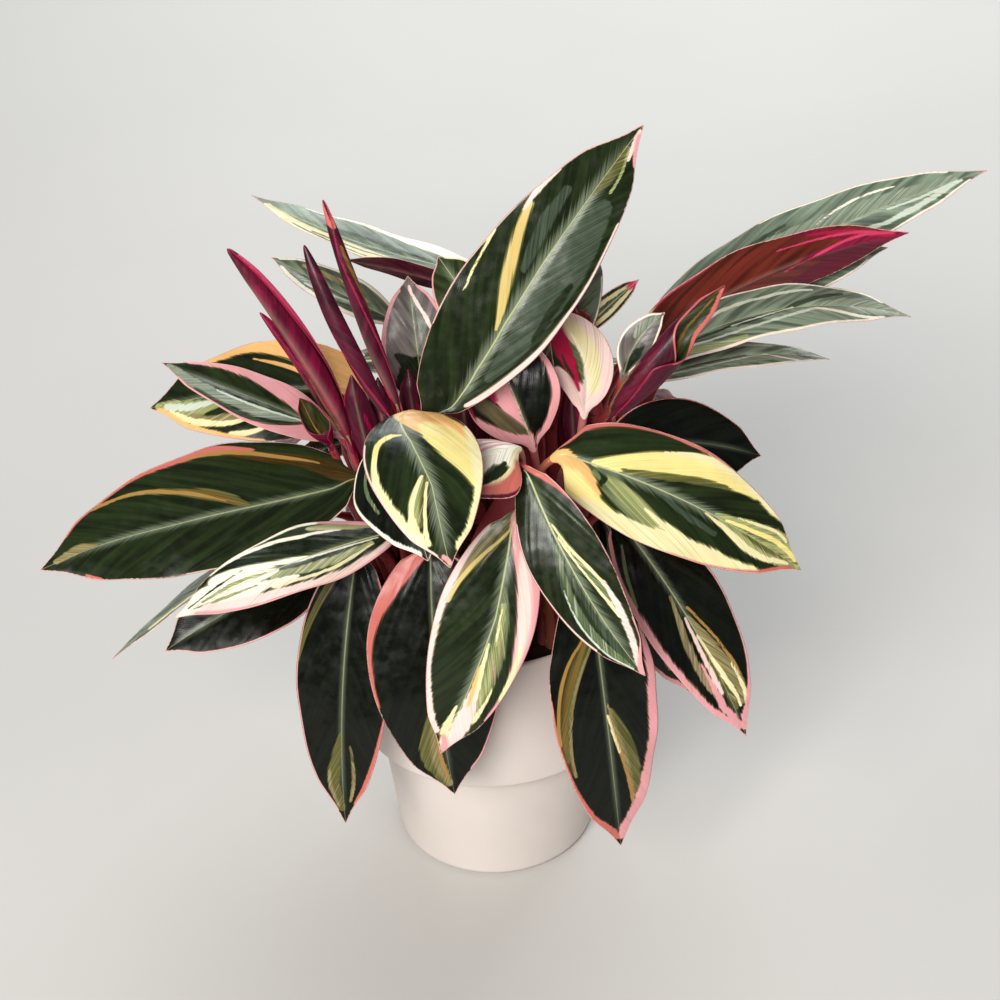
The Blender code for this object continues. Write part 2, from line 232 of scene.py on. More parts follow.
# Mid tones lie between the ground and the pale markings.
MIDS = {
    "olive": linear(90, 90, 46),
    "sage": linear(96, 110, 74),
    "celadon": linear(150, 156, 102),
    "khaki": linear(134, 124, 84),
    "ash": linear(134, 146, 126),
    # On leaf_tall_front this tone is painted sheen, a grey gloss over the dark green.
    "slate": linear(60, 72, 56),
    "umber": linear(66, 50, 20),
    "taupe": linear(86, 78, 54),
    "shade": linear(26, 36, 22),
    "wine": linear(92, 16, 40),
    "magenta": linear(126, 12, 54),
    "gold": linear(112, 86, 38),
}
PALES = {
    "cream": linear(238, 228, 178),
    "butter": linear(240, 224, 146),
    "straw": linear(212, 190, 120),
    "ochre": linear(160, 124, 66),
    "peach": linear(240, 186, 118),
    "ivory": linear(246, 242, 226),
    "frost": linear(204, 214, 198),
    "blush": linear(244, 214, 208),
    "pink": linear(226, 158, 164),
    "salmon": linear(196, 106, 98),
    "rose": linear(214, 62, 106),
    "cerise": linear(170, 20, 62),
}
BURGUNDY = linear(96, 16, 42)
MULBERRY = linear(124, 20, 56)
FADED_ROSE = linear(188, 92, 112)
STALK_RED = np.array(linear(132, 26, 46))
# The wine that a stalk darkens to down its sheath is painted shade, deep in the crown.
STALK_SHADED_WINE = np.array(linear(58, 10, 26))
STALK_GREEN = np.array(linear(84, 88, 50))
HALO_GREEN = linear(176, 190, 160)
THREAD_GREEN = linear(176, 184, 120)
# Tints that a colour is multiplied by, where a pale marking fades out and where it is warmer.
FRINGE_TINT = (0.5, 0.56, 0.4)
WARM_TINT = (1.0, 0.9, 0.8)


@dataclass(frozen=True)
class Leaf:
    """One leaf's shape, in millimetres and degrees, as its CAD solid has it.

    base and tip are the blade's ends, and face is the way its upper side looks. The midrib's middle lies
    arch above and sweep beside the straight line between them. fold lifts the two halves into a shallow V.
    """

    name: str
    base: tuple
    tip: tuple
    width: float
    face: tuple
    arch: float = 8
    sweep: float = 0
    fold: float = 8


STRAIGHT_MIDRIB = "0 0, 100 0"


@dataclass(frozen=True)
class Marking:
    """How a leaf is coloured.

    Each stroke is a tint and its points, "along across half_width, ...". along runs from 0 at the stalk to 100
    at the tip, across from -100 to 100, margin to margin, and half_width is in millimetres. A stroke named
    "dark" paints the ground back over what lies under it. under is the same for the leaf's lower side.
    midrib_line says where the midrib lies, as "along across, ...", on a leaf whose halves aren't equal.
    """

    ground: str = "green"
    halo: float = 0.5
    midrib: float = 0.9
    midrib_line: str = STRAIGHT_MIDRIB
    strokes: tuple = ()
    under: tuple = ()
    under_ground: str = ""


OPEN_LEAVES = (
    Leaf("leaf_tall_front", (-25, -50, 290), (80, 5, 405), 52, (0.15, -0.85, 0.5), 8, -2),
    Leaf("leaf_front_gold", (-30, -55, 300), (-15, -135, 270), 52, (0.1, -0.6, 0.8), 14, 2, 5),
    Leaf("leaf_front_gold_under", (-45, -45, 280), (-25, -110, 255), 50, (-0.35, -0.6, 0.7), 8, -4, 5),
    Leaf("leaf_right_gold", (35, -60, 275), (145, -85, 220), 54, (0.1, -0.6, 0.8), 8, -3, 6),
    Leaf("leaf_front_drop_right", (20, -75, 280), (70, -125, 195), 36, (-0.3, -0.8, 0.5), 10, 2),
    Leaf("leaf_front_centre", (15, -75, 255), (-25, -115, 145), 46, (0, -0.9, 0.4), 10, -1, 6),
    Leaf("leaf_front_low_left", (-25, -55, 225), (-20, -100, 105), 64, (0, -0.9, 0.4), 8, 3, 6),
    Leaf("leaf_low_left", (-60, -35, 210), (-75, -85, 75), 48, (-0.3, -0.9, 0.3), 8, 2, 6),
    Leaf("leaf_low_right", (48, -61, 210), (60, -100, 65), 54, (0.3, -0.9, 0.3), 8, 2, 6),
    Leaf("leaf_right_low", (60, -51, 234), (120, -101, 134), 44, (0.3, -0.8, 0.5), 8, -3, 6),
    Leaf("leaf_right_low_under", (50, -28, 234), (101, -52, 118), 36, (0.2, -0.8, 0.5), 6, 2, 6),
    Leaf("leaf_left_big", (-55, -30, 245), (-205, -70, 230), 62, (0, -0.5, 0.85), 8, 3, 4),
    Leaf("leaf_left_pink", (-40, -60, 235), (-140, -110, 230), 40, (0, -0.15, 1), 8, -2),
    Leaf("leaf_left_dark_low", (-75, -20, 190), (-155, -60, 170), 42, (0, -0.6, 0.8), 8, 0, 6),
    Leaf("leaf_left_edge_on", (-80, 0, 205), (-185, -40, 150), 34, (-0.55, 0.25, 0.75), 4, 0, 6),
    Leaf("leaf_left_orange", (-45, 20, 260), (-160, 30, 250), 52, (0, -0.6, 0.8), 8, 2, 4),
    Leaf("leaf_left_pink_narrow", (-65, -12, 258), (-145, -12, 303), 30, (0, -0.3, 0.95), 6, -4),
    Leaf("leaf_back_left_long", (15, 55, 300), (-105, 85, 335), 34, (0, 0.1, 1), -3, -6, 12),
    Leaf("leaf_back_left_under", (5, 30, 305), (-60, 45, 320), 26, (0, 0.8, 0.6), 2, 0),
    Leaf("leaf_back_left_small", (-35, 25, 295), (-95, 50, 320), 26, (0, -0.1, 1), 0, 0, 12),
    Leaf("leaf_back_pale", (-25, 5, 260), (-30, 35, 315), 34, (0, -0.8, 0.6), 6, 0),
    Leaf("leaf_back_dark", (10, 5, 295), (-15, 35, 325), 30, (0, -0.8, 0.6), 6, 0),
    Leaf("leaf_behind_tall", (30, 0, 280), (60, 45, 320), 30, (0, -0.8, 0.6), 6, 0),
    Leaf("leaf_small_upright", (50, 15, 290), (80, 30, 310), 11, (-0.2, -0.8, 0.6), 3, 0, 20),
    Leaf("leaf_centre_cream", (50, -20, 270), (35, 5, 310), 30, (0.3, -0.8, 0.6), 5, 6, 10),
    Leaf("leaf_centre_dark", (25, -38, 265), (5, -9, 315), 44, (0, -0.8, 0.6), 6, 0),
    Leaf("leaf_centre_white", (17, -70, 288), (-12, -92, 278), 36, (-0.1, -0.5, 0.85), 6, 0, -20),
    Leaf("leaf_right_dark", (60, -18, 248), (135, -13, 234), 44, (0.1, -0.6, 0.8), 5, -3, 4),
    Leaf("leaf_right_upper", (85, 55, 268), (254, 80, 332), 42, (0, -0.3, 0.9), 0, -7),
    Leaf("leaf_right_burgundy", (70, 26, 262), (210, 41, 322), 46, (0, 0.9, 0.3), 8, 8),
    Leaf("leaf_right_mid", (80, 13, 270), (210, 23, 286), 34, (0, -0.2, 1), 16, -6),
    Leaf("leaf_right_lower", (80, 7, 266), (170, 12, 271), 28, (0, 0.1, 1), 8, 0),
    Leaf("leaf_side_half_open", (70, -6, 282), (90, 4, 307), 16, (0, -0.8, 0.6), 3, -3),
    Leaf("leaf_right_upper_low", (105, 55, 258), (205, 65, 300), 34, (0, -0.3, 0.9), 6, -4),
    Leaf("leaf_rear_upper_left", (-25, 45, 252), (-82, 105, 215), 44, (-0.2, 0.3, 0.95), 10, 0),
    Leaf("leaf_rear_upper_middle", (8, 52, 262), (28, 135, 235), 46, (0, 0.3, 0.95), 10, 3),
    Leaf("leaf_rear_upper_right", (44, 46, 240), (94, 108, 202), 42, (0.2, 0.4, 0.9), 10, 0),
    Leaf("leaf_rear_side_left", (-50, 35, 222), (-125, 80, 150), 46, (-0.4, 0.2, 0.9), 10, 0),
    Leaf("leaf_rear_side_right", (60, 24, 192), (114, 70, 132), 42, (0.5, 0.2, 0.8), 8, 0),
    Leaf("leaf_rear_low_middle", (-1, 62, 208), (-6, 120, 88), 40, (0, 0.9, 0.3), 10, 0),
    Leaf("leaf_rear_left", (-35, 45, 235), (-110, 125, 150), 52, (-0.2, 0.4, 0.9), 10, 0),
    Leaf("leaf_rear_middle", (0, 55, 235), (5, 165, 165), 54, (0, 0.3, 0.95), 10, 0),
    Leaf("leaf_rear_right", (40, 50, 235), (105, 140, 160), 50, (0.2, 0.4, 0.9), 10, 0),
    Leaf("leaf_rear_low_left", (-30, 55, 210), (-65, 120, 75), 46, (-0.3, 0.9, 0.3), 10, 0),
    Leaf("leaf_rear_low_right", (30, 60, 210), (55, 120, 75), 46, (0.3, 0.9, 0.3), 10, 0),
)

NEW_LEAVES = (
    Leaf("new_leaf_left", (-60, -20, 255), (-110, 0, 355), 13, (0.3, -0.6, 0.6), 3, 5, 0),
    Leaf("new_leaf_left_short", (-65, 2, 240), (-100, 15, 311), 8, (0.3, -0.6, 0.6), 3, 3, 0),
    Leaf("new_leaf_middle", (-40, -30, 275), (-75, 0, 355), 9, (0, -1, 0.3), 2, -2, 0),
    Leaf("new_leaf_right", (-35, -25, 275), (-65, 5, 375), 8, (0, -1, 0.3), 2, -1, 0),
    Leaf("new_leaf_side", (60, -35, 275), (115, -20, 335), 17, (0, -1, 0.3), 2, 0, 0),
    Leaf("new_leaf_red", (55, 5, 295), (45, 15, 315), 8, (0, -1, 0.3), 1, 0, 0),
    Leaf("new_leaf_small", (-70, -23, 261), (-82, -23, 287), 12, (0, -1, 0.3), 2, 0, 0),
)

# Short bladeless scale leaves that wrap the shoots low in the crown. They are looks only.
SCALE_LEAVES = (
    Leaf("scale_leaf_left", (-51, -10, 222), (-58, -10, 290), 19, (0.1, -1, 0.3), 2, 0, 0),
    Leaf("scale_leaf_left_inner", (-40, -6, 222), (-46, -4, 284), 18, (-0.1, -1, 0.3), 2, 0, 0),
    Leaf("scale_leaf_middle", (-27, 6, 222), (-32, 8, 280), 17, (0, -1, 0.3), 2, 0, 0),
    Leaf("scale_leaf_back", (-5, 6, 216), (-6, 6, 274), 24, (0, -1, 0.3), 2, 0, 0),
    Leaf("scale_leaf_right", (45, 0, 214), (46, 6, 276), 15, (0, -1, 0.3), 2, 0, 0),
)


@dataclass(frozen=True)
class Roll:
    """How a new leaf is rolled: its turns below and near the tip, and where its free edge starts, in degrees.

    taper and pinch say how it narrows to its tip, and lower values make a blunter one.
    """

    turns: float = 1.5
    tip_turns: float = 1.4
    opens_at: float = 0.7
    start: float = 200
    twist: float = 120
    taper: float = 0.42
    pinch: float = 0.2


ROLLS = {
    "new_leaf_left": Roll(start=150, twist=90),
    "new_leaf_left_short": Roll(start=210, twist=80),
    "new_leaf_middle": Roll(start=240, twist=140),
    "new_leaf_right": Roll(1.4, 0.9, 0.86, start=180, twist=160),
    "new_leaf_side": Roll(1.35, 0.5, 0.5, start=225, twist=60, taper=0.5, pinch=0.5),
    "new_leaf_red": Roll(1.2, 0.6, 0.4, start=170, twist=90),
    "new_leaf_small": Roll(1.1, 0.5, 0.3, start=250, twist=30, taper=0.5, pinch=0.5),
}

SCALE_ROLL = Roll(0.55, 0.35, 0.6, start=90, twist=20, taper=0.5, pinch=0.5)
SCALE_MARKINGS = (
    Marking(ground="maroon", strokes=(
        "magenta 10 -40 1, 70 -30 1.6",
        "cerise 20 90 0.6, 90 90 0.6",
    )),
    Marking(ground="maroon", strokes=(
        "gold 10 40 0.6, 60 50 0.9",
        "cerise 20 -90 0.6, 90 -90 0.6",
    )),
)

MARKINGS = {
    "leaf_tall_front": Marking(halo=1.1, midrib_line="0 85, 6 68, 12 50, 20 33, 35 18, 55 8, 100 0", strokes=(
        # Its slate strokes are painted sheen across the dark green.
        "slate 20 64 2, 34 56 6, 50 52 8, 64 50 7.4, 76 46 4",
        "dark 36 76 1.4, 46 70 2, 54 72 1.2",
        "slate 50 -14 1.6, 58 -26 3, 66 -40 3, 74 -50 1.6",
        "olive 77 5 0.8, 84 16 2.2, 92 16 2",
        "sage 32 12 0.6, 40 -8 1.4, 48 -30 1.6, 56 -54 1",
        "straw 32 12 0.5, 38 -4 1.6, 47 -32 2.3, 56 -58 2.1, 65 -84 1.6",
        "blush 63 -84 0.6, 69 -94 1.2, 77 -100 0.8",
        "cream 36 -76 0.4, 45 -87 0.5, 54 -98 0.6",
        "blush 24 -100 0.5, 44 -100 0.5, 62 -100 0.5",
        "blush 10 86 0.8, 20 95 1.9, 35 98 1.8, 50 100 1.4, 75 100 1",
        "celadon 80 42 0.5, 87 44 0.6, 93 30 0.5",
        "blush 90 50 0.5, 95 50 1.2, 98 40 1",
        "pink 90 95 0.8, 97 80 1.6",
    )),
    "leaf_front_gold": Marking(halo=1.2, midrib_line="0 60, 12 38, 30 14, 60 -4, 100 0", strokes=(
        "peach 0 30 5, 6 5 8, 14 -26 9, 24 -50 8.4, 32 -70 7",
        "butter 20 -20 3, 30 -42 7, 40 -58 7.6, 50 -74 6.4, 62 -92 4",
        "cream 26 -98 2, 40 -94 3.4, 54 -95 3.6, 68 -99 3",
        "cream 66 -100 3, 80 -100 2.6, 92 -97 2",
        "butter 25 30 0.6, 26 54 1.3, 31 73 1.2, 42 82 1",
        "cream 38 80 0.9, 48 86 1.4, 60 92 2.2, 74 92 2.8, 88 86 2.2",
        "blush 30 100 0.9, 60 100 0.9, 94 98 0.8",
        "olive 52 3 0.6, 60 16 1.8, 68 32 2.4, 78 50 2",
        "celadon 56 10 0.6, 66 32 1.2, 76 50 1.4",
        "cream 54 10 0.6, 62 30 1, 70 50 1.2, 80 68 1.8, 87 78 2.2",
        "cream 58 4 0.5, 70 20 0.7, 82 42 0.9, 88 60 1.2",
        "pink 95 40 1, 98 -20 1",
    )),
    "leaf_front_gold_under": Marking(ground="deep", strokes=(
        "sage 10 50 0.6, 30 68 1, 60 66 0.8",
        "ivory 10 99 0.8, 50 99 1, 95 94 1.6",
        "celadon 6 -20 2, 16 5 1",
        "pink 10 -100 0.8, 90 -100 0.8",
    )),
    "leaf_right_gold": Marking(halo=0.9, strokes=(
        "sage 16 16 2.6, 26 36 5.6, 38 56 5.2, 50 74 2.8",
        "celadon 20 20 1.6, 28 36 4.4, 38 54 4.2, 50 72 2",
        "peach 0 40 7, 8 55 9, 15 70 6",
        "butter 8 66 6, 18 82 4.6, 30 90 3.6",
        "cream 15 92 3.4, 35 88 5, 55 84 5.6, 70 86 4, 84 94 2",
        "cream 36 42 0.5, 46 58 1.6, 56 72 2.4",
        "dark 34 6 1, 46 24 3.4, 60 38 4, 74 52 2.8, 87 48 0.8",
        "dark 16 8 0.6, 19 22 1.4, 18 36 1",
        "celadon 64 3 1, 76 14 3.2, 87 18 4, 95 0 4, 98 -40 2",
        "olive 74 4 0.6, 84 10 1.4, 93 -6 1.6, 97 -50 1",
        "cream 58 3 0.5, 68 16 1.3, 78 34 1.7, 86 42 1.4, 94 30 0.8",
        "butter 14 -4 1.6, 26 -24 4.4, 38 -44 5.6, 54 -68 5, 72 -94 3",
        "cream 36 -62 0.6, 50 -84 1.6, 66 -98 2.4, 84 -100 2.4, 96 -90 1.6",
        "olive 24 -8 0.8, 36 -20 1.6, 50 -40 1.8, 62 -60 1.2",
        "dark 40 -6 0.8, 56 -26 2.6, 72 -50 3, 87 -88 2",
        "slate 40 10 0.6, 52 24 1.8, 64 34 1.2",
        "celadon 62 -4 0.8, 76 -20 2.8, 86 -42 4.2, 95 -76 3.4",
        "olive 74 -4 0.5, 84 -22 1.2, 92 -54 1.2",
        "butter 66 -3 0.5, 78 -16 1.1, 88 -38 1.4, 96 -70 1.2",
        "cream 70 -20 0.5, 80 -42 0.7, 90 -78 0.8",
        "salmon 50 100 0.6, 70 100 0.9, 86 99 1.4, 96 94 1.6",
        "salmon 2 -98 2, 20 -100 1.7, 34 -100 1.2, 45 -97 1, 60 -100 0.8",
    )),
    "leaf_front_drop_right": Marking(halo=0.9, strokes=(
        "slate 30 5 0.6, 42 22 2, 56 42 2.4, 74 56 2.2, 94 56 1.2",
        "sage 34 7 0.5, 46 26 0.9, 60 46 1, 76 60 1, 94 60 0.8",
        "slate 48 6 0.5, 60 14 1.4, 78 18 1.6, 94 6 1",
        "sage 24 -5 0.6, 38 -18 1.6, 50 -36 2, 64 -50 1.4",
        "sage 40 14 0.4, 50 28 0.5, 62 40 0.6, 76 46 0.6, 90 40 0.5",
        "frost 52 46 0.3, 66 66 0.4, 80 76 0.4, 95 80 0.4",
        "cream 26 -6 0.45, 38 -22 0.6, 50 -44 0.7, 60 -62 0.9",
        "cream 32 -6 0.45, 46 -20 0.55, 60 -38 0.55, 72 -56 0.8",
        "blush 56 -58 0.8, 68 -66 1.4, 82 -62 1.4, 95 -42 1.1",
        "salmon 2 -80 2.2, 12 -95 1.4, 20 -100 0.6",
        "blush 20 100 0.6, 50 100 0.6, 80 98 0.8",
        "pink 75 -100 0.8, 90 -100 1.2, 98 0 1.2",
    )),
    "leaf_front_centre": Marking(halo=0.8, midrib_line="0 0, 15 -10, 40 -18, 70 -12, 100 0", strokes=(
        "olive 2 40 4, 8 45 5, 16 60 4, 28 80 2",
        "sage 2 60 2.4, 7 70 2.6, 14 84 1.8, 24 94 1.2",
        "khaki 2 10 0.4, 6 36 0.8, 13 62 0.9, 22 78 0.9, 30 86 1",
        "sage 28 -22 1, 40 -34 2.8, 54 -42 3.8, 70 -46 3.8, 80 -50 2",
        "celadon 34 -28 0.7, 46 -36 1.6, 60 -44 2.2, 76 -50 1.2",
        "straw 6 -6 0.3, 10 16 0.6, 18 52 0.8, 28 74 1, 38 84 1",
        "pink 2 -50 4.6, 12 -70 6.4, 24 -78 6.6, 38 -84 5.4, 50 -90 4",
        "pink 50 -90 4, 60 -96 2.4, 70 -100 1.6, 80 -100 1",
        "blush 14 -52 1, 22 -60 2.6, 32 -70 3.2, 44 -80 2.4, 54 -88 1.2",
        "cream 48 -84 0.8, 58 -90 1.2, 70 -96 1.1",
        "cream 34 -24 0.3, 44 -30 0.6, 50 -34 0.4",
        "cream 50 -20 0.4, 60 -24 1.1, 70 -30 1.8, 80 -36 2.2",
        "cream 66 -62 0.3, 73 -66 0.8, 82 -66 1",
        "blush 70 -26 1.6, 80 -34 3.6, 93 -36 4",
        "peach 60 -18 0.5, 68 -22 1, 76 -26 0.9",
        "cream 78 4 0.6, 88 20 1.8, 95 20 1.8",
        "blush 8 100 1.6, 30 96 2.4, 50 97 2, 70 97 1.6, 90 86 2",
        "dark 66 2 0.4, 74 10 0.7, 82 22 0.6",
        "pink 92 30 1.2, 97 -30 2.2",
    )),
    "leaf_front_low_left": Marking(ground="deep", halo=0.08, midrib=0.25, strokes=(
        "olive 58 5 0.8, 70 24 3, 82 42 4.4, 94 40 3",
        "khaki 62 6 0.6, 74 18 1.8, 86 28 2.6, 95 24 1.6",
        "ochre 70 10 0.5, 80 16 0.9, 92 18 0.8",
        "salmon 2 78 6.4, 12 86 6, 25 95 4, 40 100 2.4, 60 100 1.2",
        "pink 6 -100 1.2, 50 -100 1, 90 -100 0.8",
    )),
    "leaf_low_left": Marking(ground="deep", halo=0.12, midrib=0.34, strokes=(
        "olive 2 50 2.4, 15 70 1.8, 30 88 1.4, 42 98 0.9",
        "olive 66 2 0.8, 76 18 2.6, 86 36 3.2, 94 30 2",
        "khaki 80 42 0.6, 86 54 1.1, 93 58 0.8",
        "olive 70 -24 0.6, 80 -40 1.1, 88 -46 0.9",
        "khaki 76 -34 0.5, 84 -46 0.8, 91 -50 0.7",
        "salmon 10 -100 0.8, 50 -100 0.7, 70 -97 1.1, 85 -90 1, 92 -90 0.5",
        "pink 10 100 0.7, 60 100 0.7, 95 100 0.7",
    )),
    "leaf_low_right": Marking(ground="deep", halo=0.12, midrib=0.36, strokes=(
        "umber 18 6 1.6, 26 36 3.4, 36 62 3.6, 50 82 3, 66 94 2",
        "olive 20 10 1, 27 36 2, 37 60 2.2, 50 80 2, 62 90 1.2",
        "gold 24 26 0.7, 32 50 1.1, 44 74 1.1, 58 88 1",
        "khaki 24 10 0.5, 32 36 0.8, 44 62 0.8, 60 80 0.8, 68 86 0.8",
        "ochre 22 30 0.5, 30 64 0.7, 42 86 0.8, 56 96 0.9",
        "olive 48 -10 0.8, 60 -34 3, 72 -52 3.4, 82 -64 2",
        "khaki 46 -4 0.5, 58 -18 0.9, 70 -36 1.1, 80 -50 1",
        "ochre 50 -4 0.5, 60 -14 0.8, 70 -30 0.9, 80 -48 0.9, 86 -62 0.8",
        "cream 50 -2 0.45, 57 -9 0.55, 64 -18 0.45",
        "dark 58 -4 0.5, 66 -14 0.8, 72 -22 0.5",
        "pink 22 -100 1, 34 -95 2.4, 50 -94 3, 66 -95 3.2, 80 -88 3.2",
        "pink 80 -88 3.2, 90 -72 3, 96 -30 2",
        "salmon 40 100 0.7, 64 100 1, 78 98 1.4, 88 86 1.4, 96 40 1.4",
    )),
    "leaf_right_low": Marking(ground="deep", halo=0.35, midrib=0.55, strokes=(
        "khaki 38 8 0.7, 54 30 1.8, 70 46 1.8, 85 38 0.9",
        "sage 12 50 0.6, 20 70 1, 34 86 0.7",
        "khaki 48 -2 1, 62 -16 2.6, 74 -36 3.4, 86 -62 2.6",
        "olive 60 2 0.6, 74 2 1.6, 88 -10 1.2",
        "blush 48 6 0.5, 60 13 1, 72 18 1.3, 80 20 0.9",
        "pink 66 30 0.5, 78 36 1.3, 88 42 1.8, 95 30 1.4",
        "cream 56 2 0.5, 68 -4 0.9, 78 -16 1, 88 -36 0.8",
        "cream 72 -44 0.5, 80 -60 0.8, 88 -74 1",
        "ochre 45 -10 0.45, 60 -33 0.6, 76 -60 0.7",
        "pink 6 92 0.9, 20 98 1.4, 40 97 2.2, 60 97 2.4, 84 95 2, 95 76 2",
        "pink 30 -100 0.8, 70 -100 0.9, 86 -94 1.8, 96 -60 2",
    )),
    "leaf_right_low_under": Marking(ground="deep", halo=0.3, midrib=0.5, strokes=(
        "umber 6 30 2, 20 50 1.6",
        "sage 20 10 0.6, 32 40 1.2, 46 62 1",
        "khaki 50 6 0.6, 66 24 1.4, 82 40 1.4",
        "khaki 56 -30 0.8, 70 -46 1.8, 85 -56 1.4",
        "cream 66 -50 0.5, 78 -62 0.7, 88 -66 0.5",
        "salmon 8 70 1.2, 24 90 1.2, 42 98 1.2, 60 100 1.2",
        "pink 50 100 1, 80 98 1.2, 94 80 1.4",
        "pink 5 -100 1, 90 -100 1",
    )),
    "leaf_left_big": Marking(
        halo=0.45, midrib=0.5, midrib_line="0 0, 10 -20, 30 -16, 60 -10, 85 0, 100 0",
        strokes=(
        "umber 0 10 5, 7 36 5, 16 56 4, 28 70 3, 40 84 2",
        "olive 36 -10 1, 42 10 2.6, 50 30 2.6, 60 54 1.4, 72 80 0.8",
        "gold 38 -8 0.6, 46 20 1.6, 55 42 1.2",
        "ochre 12 56 0.4, 24 68 0.9, 36 82 1.3, 46 92 1.4",
        "salmon 30 84 0.6, 42 92 1.8, 54 97 1.9, 70 100 1.2, 90 100 0.8",
        "ochre 30 78 0.5, 40 86 0.7, 50 92 0.5",
        "ochre 42 4 0.4, 50 28 0.9, 60 54 1, 70 76 0.8, 80 95 0.8",
        "khaki 82 3 0.6, 88 16 2.2, 95 12 1.2",
        "salmon 84 -96 0.5, 88 -90 0.6",
        "blush 5 -100 0.5, 60 -100 0.5",
    )),
    "leaf_left_pink": Marking(halo=0.4, strokes=(
        "celadon 10 75 2.4, 20 72 2.6, 34 74 2",
        "ivory 22 56 0.4, 30 58 0.6, 40 62 1, 50 76 1.1, 62 88 1.1, 80 100 0.9",
        "pink 2 90 2.4, 12 96 2.8, 24 100 2.2, 34 100 1.2",
        "ivory 30 96 1.2, 50 99 1.2, 75 100 0.8",
        "celadon 14 -30 1.2, 30 -40 2.6, 44 -36 2.8, 58 -22 2.2",
        "ivory 10 -14 0.4, 24 -10 0.7, 40 -4 1, 54 14 1.8, 66 36 2.6, 80 60 2.6",
        "cream 14 -40 0.4, 28 -58 0.8, 44 -64 0.9, 60 -56 1.4",
        "ivory 56 -6 1.8, 68 0 4.6, 82 0 7.4, 96 0 6",
        "ivory 50 -50 1, 64 -40 3, 80 -40 5",
        "dark 68 40 0.3, 80 34 0.55, 94 22 0.4",
        "celadon 60 2 0.5, 74 12 0.9, 88 4 0.7",
        "celadon 66 -30 0.5, 80 -28 0.9, 92 -20 0.5",
        "blush 5 -95 3, 30 -90 2.6, 50 -86 2.2, 70 -76 2.6, 88 -60 3",
        "pink 5 -100 1.2, 30 -100 0.8, 70 -100 1, 92 -90 1.4",
    )),
    "leaf_left_dark_low": Marking(ground="deep", halo=0.2, midrib=0.3, strokes=(
        "pink 5 -100 0.6, 50 -100 0.7, 95 -100 0.5",
    )),
    "leaf_left_edge_on": Marking(ground="grey_green", strokes=(
        "cream 10 -60 1.5, 40 -70 2, 80 -50 1.6",
        "ivory 10 -100 1.2, 90 -100 1",
        "ivory 10 100 1.2, 90 100 1",
    )),
    "leaf_left_orange": Marking(halo=0.3, midrib=0.5, strokes=(
        "peach 4 30 10, 15 50 11, 26 70 9, 38 84 6, 52 94 4",
        "peach 50 94 4, 66 98 3, 80 100 1.6",
        "peach 26 20 2, 36 38 1.2, 46 54 0.8, 54 66 0.4",
        "celadon 62 -10 1.5, 74 -24 3.4, 88 -30 4, 96 -10 2",
        "frost 70 -14 0.8, 80 -24 1.8, 92 -26 1.8",
        "khaki 50 -34 1, 62 -52 2.4, 74 -64 2.8, 84 -60 2",
        "cream 52 -50 0.5, 64 -66 1.1, 78 -72 1.6, 90 -62 1.6",
        "cream 42 -56 0.5, 52 -78 1.1, 64 -92 1.4",
        "peach 50 -100 1.2, 70 -98 1.6, 86 -92 1.8, 96 -76 1.4",
    )),
    "leaf_left_pink_narrow": Marking(halo=0.2, midrib=0.2, strokes=(
        "ash 24 -20 0.8, 42 -42 2.4, 64 -50 3.2, 85 -50 2.8, 96 -20 1.4",
        "slate 30 -70 0.6, 50 -80 1, 80 -80 0.8",
        "frost 14 -6 0.45, 30 -20 0.6, 50 -30 0.6, 70 -34 0.5",
        "pink 0 50 7, 14 50 7, 30 62 5.4, 45 74 4, 62 88 2.6, 88 98 1.2",
        "pink 0 -50 6, 14 -60 5.4, 28 -78 3.6, 42 -94 2, 60 -100 1.1, 90 -100 0.8",
    )),
    "leaf_back_left_long": Marking(ground="silver", midrib=0.6, strokes=(
        "ivory 10 75 4.5, 30 80 4, 45 90 2.6, 60 97 1.6, 80 100 1",
        "cream 30 -80 3, 46 -70 4.4, 62 -66 4.8, 78 -66 4, 92 -50 2.4",
        "sage 40 -50 0.6, 56 -62 0.9, 72 -70 0.8",
        "olive 50 -82 0.5, 64 -88 0.8, 80 -78 0.6",
        "slate 30 12 0.6, 50 24 1.4, 70 20 0.8",
    )),
    "leaf_back_left_under": Marking(under_ground="maroon"),
    "leaf_back_left_small": Marking(ground="grey_green", midrib=0.6, strokes=(
        "khaki 26 24 0.8, 50 44 1.6, 78 50 1",
        "ash 30 -30 1, 55 -40 2, 80 -40 1.2",
        "frost 30 -16 0.5, 50 -40 0.7, 70 -60 0.6",
        "ivory 10 90 1.2, 60 95 1, 95 90 0.9",
        "ivory 10 -90 1.4, 60 -90 1.4, 90 -80 1.2",
    )),
    "leaf_back_pale": Marking(ground="dusk", midrib=0.3, strokes=(
        # This dark stroke over the lower third is painted shadow.
        "shade 2 0 14, 20 0 12, 34 -30 5, 42 -60 2",
        "slate 44 30 1.4, 60 30 2.6, 76 20 1.6",
        "blush 50 56 0.6, 70 40 0.9, 92 0 0.6",
        "pink 30 -90 0.8, 60 -95 1.2, 90 -90 1",
        "pink 40 95 0.6, 70 95 0.8, 92 90 0.8",
    )),
    "leaf_back_dark": Marking(ground="moss", strokes=(
        "cream 10 95 0.6, 50 100 0.7, 95 100 0.6",
        "pink 10 -100 0.8, 50 -100 0.9, 95 -100 0.6",
    )),
    "leaf_behind_tall": Marking(ground="grey_green", strokes=(
        "ivory 20 100 0.9, 80 100 0.9",
        "ivory 20 -100 0.9, 80 -100 0.9",
        "sage 30 20 0.8, 50 50 1.6, 70 70 0.8",
    )),
    "leaf_small_upright": Marking(ground="moss", strokes=(
        "cream 10 50 0.8, 50 50 1, 85 40 0.6",
        "cream 10 -60 0.8, 50 -50 0.9, 85 -30 0.6",
        "rose 84 0 1.5, 98 0 1.5",
    )),
    "leaf_centre_cream": Marking(ground="moss", midrib=0.3, strokes=(
